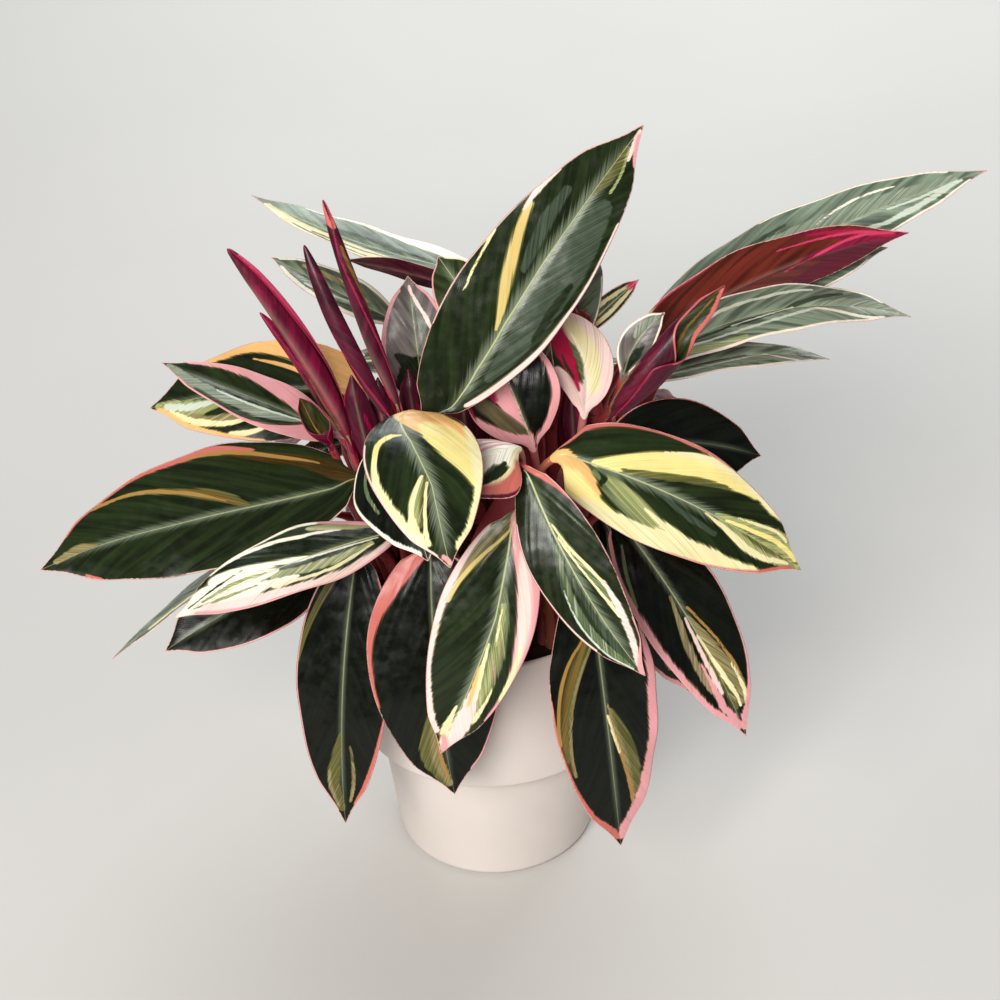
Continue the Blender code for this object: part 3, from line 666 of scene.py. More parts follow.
        "sage 20 -6 0.8, 50 -10 1.8, 90 -8 2",
        "peach 2 50 7, 30 60 5",
        "blush 5 60 9, 30 60 9, 60 56 8, 90 40 6",
        "cream 20 30 3, 50 30 4, 90 20 4",
        "blush 2 -60 8, 26 -75 5.4, 44 -96 2.6",
        "cerise 18 -34 0.7, 36 -42 2.4, 60 -50 4, 90 -50 4.4",
        "dark 30 -42 0.5, 46 -56 0.8, 60 -62 0.5",
    )),
    "leaf_centre_dark": Marking(ground="deep", halo=0.1, midrib=0.5, strokes=(
        "pink 4 -30 4, 22 -14 2.6, 42 -20 4, 70 -24 4.4",
        "cerise 42 -40 1, 55 -46 3, 80 -50 4",
        "taupe 5 -8 1.6, 18 -34 3.8, 34 -56 3.8, 52 -84 2.6",
        "pink 2 -90 5, 18 -95 4, 32 -100 2.6",
        "cerise 34 -100 1.2, 48 -100 2, 62 -94 1.6",
        "pink 4 90 3, 20 97 3.2, 40 98 3.2, 60 100 2.2, 90 100 1",
    )),
    "leaf_centre_white": Marking(halo=0, midrib=0, strokes=(
        "slate 10 -10 2, 40 -20 3.4, 85 -26 3.6",
        "ivory 0 30 14, 30 46 12, 60 46 10.6, 90 40 8",
        "pink 5 30 0.6, 30 36 1, 55 40 0.6",
        "pink 10 55 0.6, 35 60 0.9, 60 60 0.6",
        "pink 5 84 0.8, 40 86 1.2, 70 80 0.8",
        "dark 30 -30 1, 60 -36 1.6, 85 -36 1.4",
        "cream 2 -40 1, 30 -52 1, 85 -56 1",
        "salmon 12 -86 3.4, 40 -82 4.4, 85 -82 4.4",
        "wine 30 -100 1, 50 -98 1.6, 90 -96 1.6",
    )),
    # Near-black: a dark green with painted shadow, as this leaf lies in the crown's shade.
    "leaf_right_dark": Marking(ground="deep", halo=0, midrib=0.12, strokes=(
        "salmon 8 -100 0.6, 50 -100 0.5, 97 -100 0.3",
    )),
    "leaf_right_upper": Marking(ground="silver", halo=0.4, midrib=0.7, strokes=(
        "ash 30 -30 3, 60 -20 5, 90 0 4",
        "slate 50 50 0.6, 62 60 1.2, 74 60 0.6",
        "slate 20 -30 0.8, 34 -50 1.6, 46 -60 0.8",
        "ivory 4 100 1.6, 30 100 1.6, 60 100 1.2, 95 95 1",
        "ivory 53 -26 0.45, 60 -46 0.6, 68 -58 0.6, 76 -60 0.45",
        "frost 60 30 0.5, 70 60 1.4, 82 56 1.8, 93 24 0.8",
        "frost 72 16 0.5, 82 24 0.8, 92 10 0.5",
        "ivory 40 -100 0.9, 90 -100 1.2",
    )),
    "leaf_right_burgundy": Marking(under_ground="brown", under=(
        "wine 50 -90 1.6, 64 -76 4, 78 -50 6.4, 94 -10 8",
        "magenta 66 98 1.4, 78 66 3, 88 30 4.6, 98 0 5",
        "magenta 60 -10 0.8, 74 4 2, 86 20 3.4",
        "cerise 70 80 0.6, 82 66 1.6, 95 40 2",
        "rose 60 56 0.45, 74 56 0.7, 90 62 1",
        "rose 60 -20 0.45, 75 10 0.7, 88 46 1, 95 60 0.9",
        "gold 2 -30 2, 15 -50 1.2",
        "olive 4 70 1.4, 14 80 1",
        "rose 5 -100 0.6, 60 -100 0.6",
        "cream 2 96 1.6, 12 97 1.6, 22 100 1.1",
        "rose 20 100 1.2, 34 100 1.5, 46 100 0.6",
    )),
    "leaf_right_mid": Marking(ground="silver", halo=0.3, midrib=0.6, strokes=(
        "celadon 8 50 1.5, 22 72 2.2, 38 80 1.2",
        "ash 60 30 3, 80 0 5, 94 0 3",
        "slate 36 30 0.5, 50 14 1, 64 -24 1.4, 76 -62 0.9",
        "slate 14 10 0.5, 30 20 1, 46 10 0.5",
        "frost 12 26 0.45, 26 46 0.7, 42 48 0.8, 56 34 0.8, 67 12 0.8",
        "frost 34 20 0.45, 46 16 0.5, 58 0 0.45",
        "ivory 66 12 0.6, 72 30 0.9, 80 62 0.9, 90 90 0.8",
        "frost 16 -34 0.5, 34 -50 0.9, 50 -56 0.9, 66 -70 0.6",
        "ivory 10 -100 1.2, 90 -100 1.2",
        "ivory 10 100 1.4, 50 100 1.8, 90 100 1",
    )),
    "leaf_right_lower": Marking(ground="silver", halo=0.3, midrib=0.5, strokes=(
        "ash 20 40 3, 50 40 4, 80 20 3",
        "slate 14 0 0.8, 34 10 1.4, 56 0 0.8",
        "frost 10 30 0.6, 30 42 1, 50 30 0.8, 66 0 0.7",
        "ivory 66 0 0.7, 74 40 0.9, 82 80 0.8",
        "frost 20 -80 1.4, 45 -70 2, 70 -76 1.4",
        "ivory 10 100 1.6, 50 100 1.8, 90 100 1",
        "ivory 10 -100 1.2, 90 -100 1.2",
    )),
    "leaf_side_half_open": Marking(ground="dusk", halo=0.2, midrib=0.3, strokes=(
        "shade 8 20 1.6, 26 36 2.2, 46 40 1.2",
        "ash 50 -30 1, 70 -30 2, 90 -20 1",
        "ivory 5 -95 0.9, 50 -95 0.8, 95 -85 0.7",
        "ivory 5 97 0.7, 50 98 0.6, 95 85 0.6",
    )),
    "leaf_right_upper_low": Marking(ground="silver", halo=0.3, midrib=0.5, strokes=(
        "ivory 10 -100 1.4, 50 -100 1.4, 95 -90 1.2",
        "ivory 10 100 1, 90 100 1",
        "frost 40 -30 0.5, 60 -60 1, 75 -80 0.8",
    )),
    "new_leaf_left": Marking(ground="crimson", strokes=(
        "wine 10 -30 1, 50 -40 1.4, 90 -30 1",
        "gold 10 16 0.5, 22 20 0.8, 36 14 0.5",
        "rose 30 86 0.6, 60 90 0.8, 95 90 0.8",
    )),
    "new_leaf_left_short": Marking(ground="crimson"),
    "new_leaf_middle": Marking(ground="maroon", strokes=(
        "rose 10 -90 0.4, 60 -90 0.5",
    )),
    "new_leaf_right": Marking(ground="maroon", strokes=(
        "gold 30 70 0.4, 60 75 0.6, 80 80 0.4",
        "rose 10 20 0.5, 40 30 0.5",
        "salmon 88 90 0.8, 93 70 1.6, 98 50 1.4",
        "salmon 88 -90 0.8, 93 -70 1.6, 98 -50 1.4",
        "umber 88 20 0.6, 93 10 0.9, 97 0 0.5",
    )),
    "new_leaf_side": Marking(ground="maroon", strokes=(
        "magenta 10 70 1, 40 60 2.4, 70 60 3, 96 50 3",
        "umber 4 0 2, 26 -4 2.6, 50 -10 1.4",
        "gold 4 -10 0.7, 20 -12 1.2, 38 -20 0.6",
        "umber 6 30 0.8, 30 36 1.4, 50 40 0.8",
        "gold 6 10 0.5, 26 16 0.8, 46 22 0.5",
        "wine 10 -40 1, 40 -40 1.6, 80 -30 1",
        "salmon 50 100 1, 80 95 1.6, 98 90 1.4",
        "salmon 50 -100 1, 80 -95 1.6, 98 -90 1.4",
    ), under=(
        "umber 20 -40 2, 50 -40 4, 90 -20 4",
        "gold 30 40 0.6, 60 44 1, 90 30 0.6",
        "salmon 30 100 1.4, 60 96 2.2, 97 90 2",
        "salmon 30 -100 1.4, 60 -96 2.2, 97 -90 2",
    )),
    "new_leaf_red": Marking(ground="brown", strokes=(
        "salmon 20 90 0.6, 90 90 0.6",
    )),
    "new_leaf_small": Marking(ground="crimson", strokes=(
        "rose 30 95 0.6, 90 90 0.6",
    ), under=(
        "umber 20 0 3, 90 0 3",
        "salmon 30 100 1, 90 95 1",
        "rose 30 -100 0.8, 90 -95 0.8",
    )),
}
REAR_MARKINGS = (
    Marking(halo=0.7, strokes=(
        "celadon 26 -6 0.8, 38 -30 2.4, 52 -56 2.4, 66 -80 1.2",
        "cream 24 -4 0.4, 38 -30 1.2, 54 -60 1.4, 70 -90 1.2",
        "olive 50 5 0.8, 62 28 2.4, 76 50 2",
        "cream 52 6 0.4, 66 34 1.1, 80 56 1.2, 90 60 0.9",
        "blush 30 97 1.4, 60 98 1.6, 90 92 1.6",
        "pink 10 -100 0.8, 90 -100 0.9",
    )),
    Marking(ground="deep", halo=0.6, midrib=0.7, strokes=(
        "olive 30 6 0.8, 44 34 2.6, 60 62 2, 74 84 1",
        "ochre 32 6 0.35, 46 38 0.9, 62 68 1, 76 90 0.7",
        "olive 54 -6 0.6, 68 -32 2, 82 -50 1.2",
        "salmon 10 -100 0.9, 50 -98 1.6, 92 -95 1.4",
        "pink 10 100 0.7, 90 100 0.8",
    )),
    Marking(halo=0.8, strokes=(
        "blush 10 94 2, 40 95 2.2, 70 92 2, 94 70 2",
        "celadon 40 6 0.8, 54 30 2.2, 68 50 2, 82 60 1",
        "cream 42 6 0.35, 56 34 0.9, 72 58 0.9",
        "butter 20 -5 0.5, 34 -32 1.6, 50 -62 1.8, 66 -90 1.2",
        "cream 50 -72 0.8, 64 -92 1, 74 -100 0.8",
        "pink 10 -100 0.9, 90 -100 0.9",
    )),
)


def unit(vectors):
    """Vectors at length 1."""
    return vectors / np.linalg.norm(vectors, axis=-1, keepdims=True)


def square_to(direction, along):
    """The part of a direction that is square to another, at length 1."""
    return unit(direction - along * np.dot(direction, along))


def bezier(points, t):
    """Points on the curve with these control points, at each t."""
    points = [np.tile(point, (len(t), 1)) for point in points]
    while len(points) > 1:
        points = [a + (b - a) * t[:, None] for a, b in zip(points, points[1:])]
    return points[0]


def smooth_step(values, low, high):
    """0 below low, 1 above high, and an even rise between them."""
    share = np.clip((values - low) / (high - low), 0, 1)
    return share * share * (3 - 2 * share)


def read_points(text):
    """Rows of numbers from text such as "20 64 2, 34 56 6". The first two of each are hundredths."""
    rows = np.array([[float(number) for number in point.split()] for point in text.split(",")])
    rows[:, :2] /= 100
    return rows


def half_width(leaf, s):
    """Half the blade's width, in metres, at each s from 0 at the stalk to 1 at the tip."""
    shoulder = ROUND_SHOULDER if leaf.name in ROUND_BASED else SHOULDER
    rising = np.sin(math.pi / 2 * np.minimum(s, WIDEST_AT) / WIDEST_AT) ** shoulder
    falling = np.cos(math.pi / 2 * (np.maximum(s, WIDEST_AT) - WIDEST_AT) / (1 - WIDEST_AT))
    roll = SCALE_ROLL if leaf in SCALE_LEAVES else ROLLS.get(leaf.name)
    taper, pinch = (roll.taper, roll.pinch) if roll else (TAPER, POINT_PINCH)
    width = leaf.width * MM / 2 * rising * np.maximum(falling, 0) ** taper
    return np.maximum(width * (1 - pinch * smooth_step(s, POINT_FROM, 1)), TIP_WIDTH / 2)


def blade_curve(leaf):
    """The midrib's three control points, with the way the blade faces."""
    base, tip = np.array(leaf.base) * MM, np.array(leaf.tip) * MM
    along = unit(tip - base)
    up = square_to(np.array(leaf.face, float), along)
    side = np.cross(along, up)
    middle = (base + tip) / 2 + 2 * MM * (leaf.arch * up + leaf.sweep * side)
    return [base, middle, tip], up


def stalk_foot(leaf):
    """Where a leaf's stalk stands: in the middle of its CAD solid's flat foot, or right below its blade."""
    if leaf.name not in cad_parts:
        return np.array(leaf.base[:2]) * MM
    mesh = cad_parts[leaf.name].data
    corners = np.empty(len(mesh.vertices) * 3)
    mesh.vertices.foreach_get("co", corners)
    corners = corners.reshape(-1, 3)
    foot = corners[np.abs(corners[:, 2] - FOOT_Z) < FOOT_TOLERANCE]
    return np.unique(foot.round(5), axis=0).mean(axis=0)[:2]


def spine(leaf):
    """The line that a leaf follows, from its foot to its tip, with the two directions square to it.

    It gives places, sides, ups, and each row's station.
    """
    curve, facing = blade_curve(leaf)
    arrival = unit(unit(curve[1] - curve[0]) + (0, 0, 1))
    x, y = stalk_foot(leaf)
    foot = np.array((x, y, STALK_STRAIGHT_Z))
    reach = np.linalg.norm(curve[0] - foot)
    rise = np.array((0, 0, STALK_RISE * reach))
    stalk = [foot, foot + rise, curve[0] - arrival * STALK_BEND * reach, curve[0]]

    shares = np.linspace(0, 1, STALK_ROWS, endpoint=False)
    rows = min(round(math.dist(leaf.base, leaf.tip) * MM / ROW_SPACING) + LEAST_ROWS, MOST_ROWS)
    along = 1 - (1 - np.linspace(0, 1, rows)) ** ROW_CROWDING
    buried = [(x, y, FOOT_Z), (x, y, (FOOT_Z + STALK_STRAIGHT_Z) / 2)]
    places = np.concatenate([buried, bezier(stalk, shares), bezier(curve, along)])
    stations = np.concatenate([BURIED, shares - 1, along])

    first = len(places) - rows
    near = slice(first - SMOOTH_REACH, first + SMOOTH_REACH)
    for _ in range(SMOOTH_ROUNDS):
        eased = (places[:-2] + 2 * places[1:-1] + places[2:]) / 4
        places[near] = eased[near.start - 1 : near.stop - 1]

    lengths = np.concatenate([[0], np.cumsum(np.linalg.norm(np.diff(places, axis=0), axis=1))])
    tangents = unit(np.gradient(places, lengths, axis=0))
    ups = np.empty_like(places)
    for i in range(first, len(places)):
        ups[i] = square_to(facing, tangents[i])
    for i in range(first - 1, -1, -1):
        ups[i] = square_to(ups[i + 1], tangents[i])
    return places, np.cross(tangents, ups), ups, stations


def stroke_line(points):
    """A smooth line through a stroke's points, which are rows of along, across and half width."""
    t = np.linspace(0, len(points) - 1, STROKE_STEPS)
    ghost = np.concatenate([[2 * points[0] - points[1]], points, [2 * points[-1] - points[-2]]])
    low = np.minimum(t.astype(int), len(points) - 2)
    f = (t - low)[:, None]
    a, b, c, d = (ghost[low + k] for k in range(4))
    return 0.5 * (2 * b + (c - a) * f + (2 * a - 5 * b + 4 * c - d) * f**2 + (3 * b - a - 3 * c + d) * f**3)


def stroke_field(points, x, y, widths_at, length):
    """How far, in millimetres, each spot lies inside a stroke: negative outside it."""
    line = stroke_line(points)
    line_x = line[:, 0] * length
    line_y = line[:, 1] * np.interp(line[:, 0], *widths_at)
    field = np.full(x.shape, FAR_OUTSIDE)
    spots = list(zip(line_x, line_y, line[:, 2]))
    for (ax, ay, a_width), (bx, by, b_width) in zip(spots, spots[1:]):
        run_x, run_y = bx - ax, by - ay
        share = ((x - ax) * run_x + (y - ay) * run_y) / max(run_x**2 + run_y**2, 1e-9)
        share = np.clip(share, 0, 1)
        apart = np.hypot(x - ax - share * run_x, y - ay - share * run_y)
        stroke = a_width + (b_width - a_width) * share
        firm = np.clip(FIRM_BELOW / stroke, 1, FIRMEST)
        field = np.maximum(field, (stroke - apart) * firm)
    return field


def paint(ground, strokes, x, y, widths_at, length):
    """The ground, and the middle and pale tones with their fields, at each spot."""
    painted = []
    for stroke in strokes:
        tint, _, points = stroke.partition(" ")
        painted.append((tint, stroke_field(read_points(points), x, y, widths_at, length)))
    tones = {"ground": np.tile(ground, (*x.shape, 1))}
    for layer, tints in (("mid", MIDS), ("pale", PALES)):
        first = next((tint for tint, _ in painted if tint in tints), None)
        colours = np.tile(tints.get(first, ground), (*x.shape, 1))
        inside = np.full(x.shape, FAR_OUTSIDE)
        for tint, field in painted:
            if tint in tints:
                share = smooth_step(field, -STROKE_SOFTNESS, STROKE_SOFTNESS)
                share = np.where((inside < 0) & (field > inside), 1, share)[..., None]
                colours = colours * (1 - share) + np.array(tints[tint]) * share
                inside = np.maximum(inside, field)
            elif layer == "pale" or tint not in PALES:
                inside = np.minimum(inside, -field)
        tones[layer] = np.dstack([colours, np.clip(0.5 + inside / FIELD_SPAN, 0, 1)])
    return tones


def from_midrib(midrib_line, s, v):
    """Places across a blade, counted from its midrib: 0 there and still -1 and 1 at the margins."""
    midrib = np.interp(s, *read_points(midrib_line).T)[:, None]
    return (v - midrib) / (1 - midrib * v)


def flat_section(leaf, midrib_line, stations, v, waves, length):
    """Upper and lower points (across, rise) of an open blade, as arrays of rows by columns."""
    settings = bpy.context.scene.stromanthe_leaves
    s = np.clip(stations, 0, 1)
    width = half_width(leaf, s)[:, None]
    beside = from_midrib(midrib_line, s, v[None, :])
    out = np.abs(beside)
    lift = width * (math.tan(math.radians(leaf.fold)) * out - RIM_DROOP * out**2)
    x = s[:, None] * length
    sides = np.where(beside < 0, waves["left"], waves["right"])
    reach = np.minimum(width / FULL_WAVE_WIDTH, 1)
    lift = lift + settings.margin_wave * reach * out**2 * np.sin(math.tau * x / waves["period"] + sides)
    turn = math.tau * vein_place(leaf, x / MM, width * out / MM) / waves["ribs"]
    ridges = RIDGE_SHARES[0] * np.sin(turn) + RIDGE_SHARES[1] * np.sin(turn * RIDGE_RATIO + sides)
    ridges = ridges * (0.5 + 0.5 * np.sin(turn / RIDGE_FADING + 2 * sides)) * out * (1 - out**2) * RIDGE_GAIN
    lift = lift + settings.vein_ridge * reach * ridges
    thick = settings.blade_thickness * (1 - MARGIN_THINNING * out**2)
    thick = np.where(out >= 1, 0, thick)
    fade = smooth_step(1 - stations, *GROOVE_FADE)[:, None]
    hollow = np.exp(-((beside * width / GROOVE_WIDTH) ** 2)) * fade
    across = width * v[None, :]
    upper = lift + thick / 2 - settings.midrib_groove * hollow
    lower = lift - thick / 2 - settings.midrib_ridge * hollow
    return np.dstack([across, upper]), np.dstack([across, lower])


def rolled_section(leaf, stations, v, roll):
    """Inner and outer points (across, rise) of a rolled blade, as arrays of rows by columns."""
    width = half_width(leaf, np.clip(stations, 0, 1))[:, None]
    opening = smooth_step(stations, roll.opens_at - ROLL_OPENING[0], min(roll.opens_at + ROLL_OPENING[1], 1))
    turns = (roll.turns + (roll.tip_turns - roll.turns) * opening)[:, None]
    middle = math.radians(roll.start) + math.radians(roll.twist) * (stations[:, None] - 0.5)
    angle = middle + math.pi * turns * v[None, :]
    tightness = ROLL_TIGHTENING * np.minimum(turns, TIGHTEST_TURNS) / TIGHTEST_TURNS
    spiral = 1 - tightness * (1 - v[None, :]) / 2
    thick = np.minimum(ROLL_THICKNESS, width * ROLL_THICKEST)
    thick = thick * np.where(np.abs(v) >= 1, LIP_THICKNESS, 1)[None, :]
    rings = []
    for shift in (-0.5, 0.5):
        radius = width * spiral + shift * thick
        rings.append(np.dstack([radius * np.cos(angle), radius * np.sin(angle) * ROLL_FLATNESS]))
    return rings


def stalk_section(stations, v):
    """Upper and lower points (across, rise) of a stalk in its sheath, as arrays of rows by columns."""
    round_up = np.sqrt(np.maximum(1 - v**2, 0))
    down = np.clip(-stations, 0, -BURIED[0])[:, None]
    wrapped = smooth_step(down, *SHEATH_TOP)
    swell = 1 + NECK_SWELL * np.exp(-((down / NECK_REACH) ** 2)) + SHEATH_SWELL * wrapped
    swell = swell + FOOT_SWELL * smooth_step(down, *FOOT_SPAN)
    wing = 1 + SHEATH_WING * wrapped * smooth_step(1 - down, *WING_SPAN)
    sides = (np.dstack([swell * wing * v[None, :], swell * sign * round_up[None, :]]) for sign in (1, -1))
    return [STALK_RADIUS * side for side in sides]


def vein_place(leaf, x, y):
    """Where the side vein through a spot leaves the midrib, in millimetres along it."""
    half = leaf.width / 2
    return x - VEIN_LEAN * y - VEIN_CURVE * half * (y / half) ** 3


def columns(rolled):
    """The columns across a blade, from margin to margin."""
    if rolled:
        inner = np.linspace(-1, 1, ROLL_PLACES)
        return np.concatenate([[-1, -ROLL_LIP], inner[1:-1], [ROLL_LIP, 1]])
    half = np.linspace(0, 1, HALF_PLACES + 1)[1:]
    half = half - COLUMN_CROWDING * np.sin(math.tau * half)
    return np.concatenate([-half[::-1], [0], half])


def loft(leaf, marking, roll=None):
    """Build a leaf as one closed mesh, with its colours stored on its points."""
    shuffle = random.Random(leaf.name)
    waves = {
        "left": shuffle.uniform(0, math.tau),
        "right": shuffle.uniform(0, math.tau),
        "period": shuffle.uniform(*MARGIN_WAVES) * MM,
        "ribs": shuffle.uniform(*RIDGE_WAVES),
    }
    seed = shuffle.uniform(*SEED_SPAN)
    places, sides, ups, stations = spine(leaf)
    v = columns(roll is not None)
    last = len(v) - 1
    fine = roll or marking.under_ground or marking.midrib_line != STRAIGHT_MIDRIB
    step = 1 if fine else UNDERSIDE_STEP
    below = np.arange(last - step, 0, -step)
    length = float(np.linalg.norm(np.diff(places[stations >= 0], axis=0), axis=1).sum())

    if roll:
        blade = rolled_section(leaf, stations, v, roll)
    else:
        blade = flat_section(leaf, marking.midrib_line, stations, v, waves, length)
    share = np.clip(stations / BLADE_NECK, 0, 1)[:, None, None]
    upper, lower = (a + (b - a) * share for a, b in zip(stalk_section(stations, v), blade))
    ring = np.concatenate([upper, lower[:, below]], axis=1)
    points = places[:, None] + sides[:, None] * ring[..., :1] + ups[:, None] * ring[..., 1:]
    if leaf.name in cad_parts:
        check_box(leaf.name, points.reshape(-1, 3))

    rows, count = ring.shape[:2]
    start, around = np.arange(rows - 1)[:, None] * count, np.arange(count)[None, :]
    low, ahead = start + around, start + (around + 1) % count
    quads = np.stack([low, ahead, ahead + count, low + count], axis=-1).reshape(-1, 4)
    foot = list(range(count))[::-1]
    tip = list(range((rows - 1) * count, rows * count))
    mesh = bpy.data.meshes.new(leaf.name)
    mesh.from_pydata(points.reshape(-1, 3).tolist(), [], quads.tolist() + [foot, tip])

    on_stalk = stations[:-1] < STALK_END
    material = np.where(on_stalk[:, None], 2, np.where(around < last, 0, 1)).ravel()
    mesh.polygons.foreach_set("material_index", np.concatenate([material, [2, 1]]).astype(np.int32))
    bake_layout(mesh, stations, np.concatenate([v, v[below]]), last, on_stalk)
    colour_points(mesh, leaf, marking, stations, v, below, length / MM, seed, roll)
    mesh.shade_smooth()
    mesh.validate()
    return mesh


def check_box(name, points):
    """Stop if a built leaf isn't where its CAD solid is."""
    for built, stated in zip((points.min(axis=0), points.max(axis=0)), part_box(name)):
        off = np.abs(built - np.array(stated)).max()
        if off > BOX_TOLERANCE:
            raise ValueError(f"{name} is {off / MM:.1f} mm away from its CAD solid")


def bake_layout(mesh, stations, ring, last, on_stalk):
    """Lay a leaf out flat for baking: upper side, lower side and stalk in three bands."""
    count = len(ring)
    along = (stations - stations[0]) / (stations[-1] - stations[0])
    along = np.minimum(along / along[np.argmax(stations >= 0)], 1)
    blade = np.clip(stations, 0, 1)
    corners = []
    for i, stalk in enumerate(on_stalk):
        near, far = along[i : i + 2] if stalk else blade[i : i + 2]
        for j in range(count):
            if stalk:
                band, low, high = STALK_BAND, j / count, (j + 1) / count
            else:
                band = UPPER_BAND if j < last else LOWER_BAND
                low, high = (ring[j] + 1) / 2, (ring[(j + 1) % count] + 1) / 2
            low, high = (band[0] + (band[1] - band[0]) * share for share in (low, high))
            corners += [near, low, near, high, far, high, far, low]
    corners += SPARE_CORNER * (2 * count)
    layer = mesh.uv_layers.new(name="OFBake")
    layer.data.foreach_set("uv", np.array(corners, np.float32))


def store(mesh, name, values):
    """Keep a colour or a vector on each point of a mesh."""
    kind, field = ("FLOAT_COLOR", "color") if values.shape[-1] == 4 else ("FLOAT_VECTOR", "vector")
    layer = mesh.attributes.new(name, kind, "POINT")
    layer.data.foreach_set(field, values.astype(np.float32).ravel())


def colour_points(mesh, leaf, marking, stations, v, below, length, seed, roll):
    """Store each point's tones, its place on the blade and its side vein."""
    s = np.clip(stations, 0, 1)
    steps = np.linspace(0, 1, WIDTH_STEPS)
    widths = half_width(leaf, steps) / MM * (UNROLLED if roll else 1)
    width = np.interp(s, steps, widths)[:, None]
    x = np.repeat((s * length)[:, None], len(v), axis=1)
    spots = (x, width * v[None, :], (steps, widths), length)

    upper = paint(GROUNDS[marking.ground], marking.strokes, *spots)
    if roll:
        lower = upper
        upper = paint(GROUNDS["moss"], marking.under, *spots)
        inside = smooth_step(s, *INSIDE_FROM)[:, None, None]
        upper = {key: lower[key] + (tone - lower[key]) * inside for key, tone in upper.items()}
    elif marking.under_ground:
        lower = paint(GROUNDS[marking.under_ground], marking.under, *spots)
    else:
        lower = {key: tone.copy() for key, tone in upper.items()}
        for key, colour in (("ground", BURGUNDY), ("mid", MULBERRY), ("pale", FADED_ROSE)):
            lower[key][..., :3] = colour

    def ringed(over, under):
        """The upper side's values, then the lower side's, as the mesh's points go round."""
        return np.concatenate([over, under[:, below]], axis=1)

    fall = np.clip(-stations, 0, 1)[:, None, None]
    # Down the sheath the red darkens to wine, painted shade of the crown's inside.
    stalk_tone = STALK_RED + (STALK_SHADED_WINE - STALK_RED) * smooth_step(fall, *SHEATH_TOP)
    stalk_tone = stalk_tone + (STALK_GREEN - stalk_tone) * smooth_step(fall, *GREEN_FOOT)
    grounds = ringed(upper["ground"], lower["ground"])
    grounds = grounds + (stalk_tone - grounds) * smooth_step(-stations, *STALK_FADE)[:, None, None]
    halo = ringed(np.full((*x.shape, 1), marking.halo), np.zeros((*x.shape, 1)))
    store(mesh, "ground", np.dstack([grounds, halo]))
    for key in ("mid", "pale"):
        store(mesh, key, ringed(upper[key], lower[key]))

    edge = width * (1 - np.abs(v))[None, :]
    place = np.dstack([np.repeat(s[:, None], len(v), axis=1), np.full(x.shape, marking.midrib), edge])
    store(mesh, "place", ringed(place, place))
    out = width * from_midrib(marking.midrib_line, s, v[None, :])
    vein = np.dstack([vein_place(leaf, x, np.abs(out)), out, np.full(x.shape, seed)])
    down = stations < 0
    vein[down, :, 0] = stations[down][:, None] * STALK_STREAKS
    vein[down, :, 1] = v
    store(mesh, "vein", ringed(vein, vein))


class Wire:
    """One output of a node. It can be added, subtracted, multiplied and divided as a number can."""

    def __init__(self, nodes, socket):
        self.nodes = nodes
        self.socket = socket

    def __getitem__(self, key):
        """Another output of the same node."""
        return Wire(self.nodes, self.socket.node.outputs[key])

    def __add__(self, other):
        return self.nodes.math("ADD", self, other)

    def __sub__(self, other):
        return self.nodes.math("SUBTRACT", self, other)

    def __mul__(self, other):
        return self.nodes.math("MULTIPLY", self, other)

    def __truediv__(self, other):
        return self.nodes.math("DIVIDE", self, other)


class Nodes:
    """Short ways to add shader nodes to one tree. A value may be a number, a colour or a wire."""

    def __init__(self, tree):
        self.tree = tree

    def add(self, kind, output, values, **settings):
        """A new node, as the wire from one of its outputs."""
        node = self.tree.nodes.new(kind)
        for key, value in settings.items():
            setattr(node, key, value)
        for key, value in values.items():
            self.feed(node.inputs[key], value)
        return Wire(self, node.outputs[output])

    def feed(self, socket, value):
        """Link a wire to an input, or set the input to a number or a colour."""
        if isinstance(value, Wire):
            self.tree.links.new(value.socket, socket)
        elif socket.type == "RGBA":
            socket.default_value = (*value, 1)
        else:
            socket.default_value = value

    def math(self, operation, a, b=0.0):
        """A sum, a sine or another operation on one or two values."""
        return self.add("ShaderNodeMath", 0, {0: a, 1: b}, operation=operation)

    def step(self, value, low, high, to_low=0.0, to_high=1.0):
        """A smooth rise from to_low to to_high as the value goes from low to high."""
        values = {"Value": value, "From Min": low, "From Max": high, "To Min": to_low, "To Max": to_high}
        return self.add("ShaderNodeMapRange", "Result", values, interpolation_type="SMOOTHSTEP")

    def mix(self, share, a, b, blend="MIX"):
        """Colour a with this share of b laid over it."""
        return self.add("ShaderNodeMix", 2, {0: share, 6: a, 7: b}, data_type="RGBA", blend_type=blend)

    def tint(self, colour, by):
        """A colour multiplied by another or by a number."""
        return self.mix(1.0, colour, by, "MULTIPLY")

    def lightness(self, colour):
        """A colour's brightness."""
        return self.add("ShaderNodeRGBToBW", 0, {0: colour})

    def split(self, vector):
        """A vector's three parts."""
        x = self.add("ShaderNodeSeparateXYZ", 0, {0: vector})
        return x, x[1], x[2]

    def noise(self, vector, scale, detail=2.0, roughness=0.5):
        """Noise from 0 to 1 at a place."""
        values = {"Vector": vector, "Scale": scale, "Detail": detail, "Roughness": roughness}
        return self.add("ShaderNodeTexNoise", "Fac", values)

    def streaks(self, x, y, z, detail=2.0):
        """Noise at a place made of three wires."""
        return self.noise(self.add("ShaderNodeCombineXYZ", 0, {0: x, 1: y, 2: z}), 1.0, detail)

    def attribute(self, name, output):
        """What is stored on the mesh under this name."""
        return self.add("ShaderNodeAttribute", output, {}, attribute_name=name)

    def object_place(self):
        """The place on the object."""
        return self.add("ShaderNodeTexCoord", "Object", {})

    def group(self, fill, output, values):
        """A node group, as the wire from one of its outputs. fill is the function that makes the group."""
        return self.add("ShaderNodeGroup", output, values, node_tree=shared_group(fill))


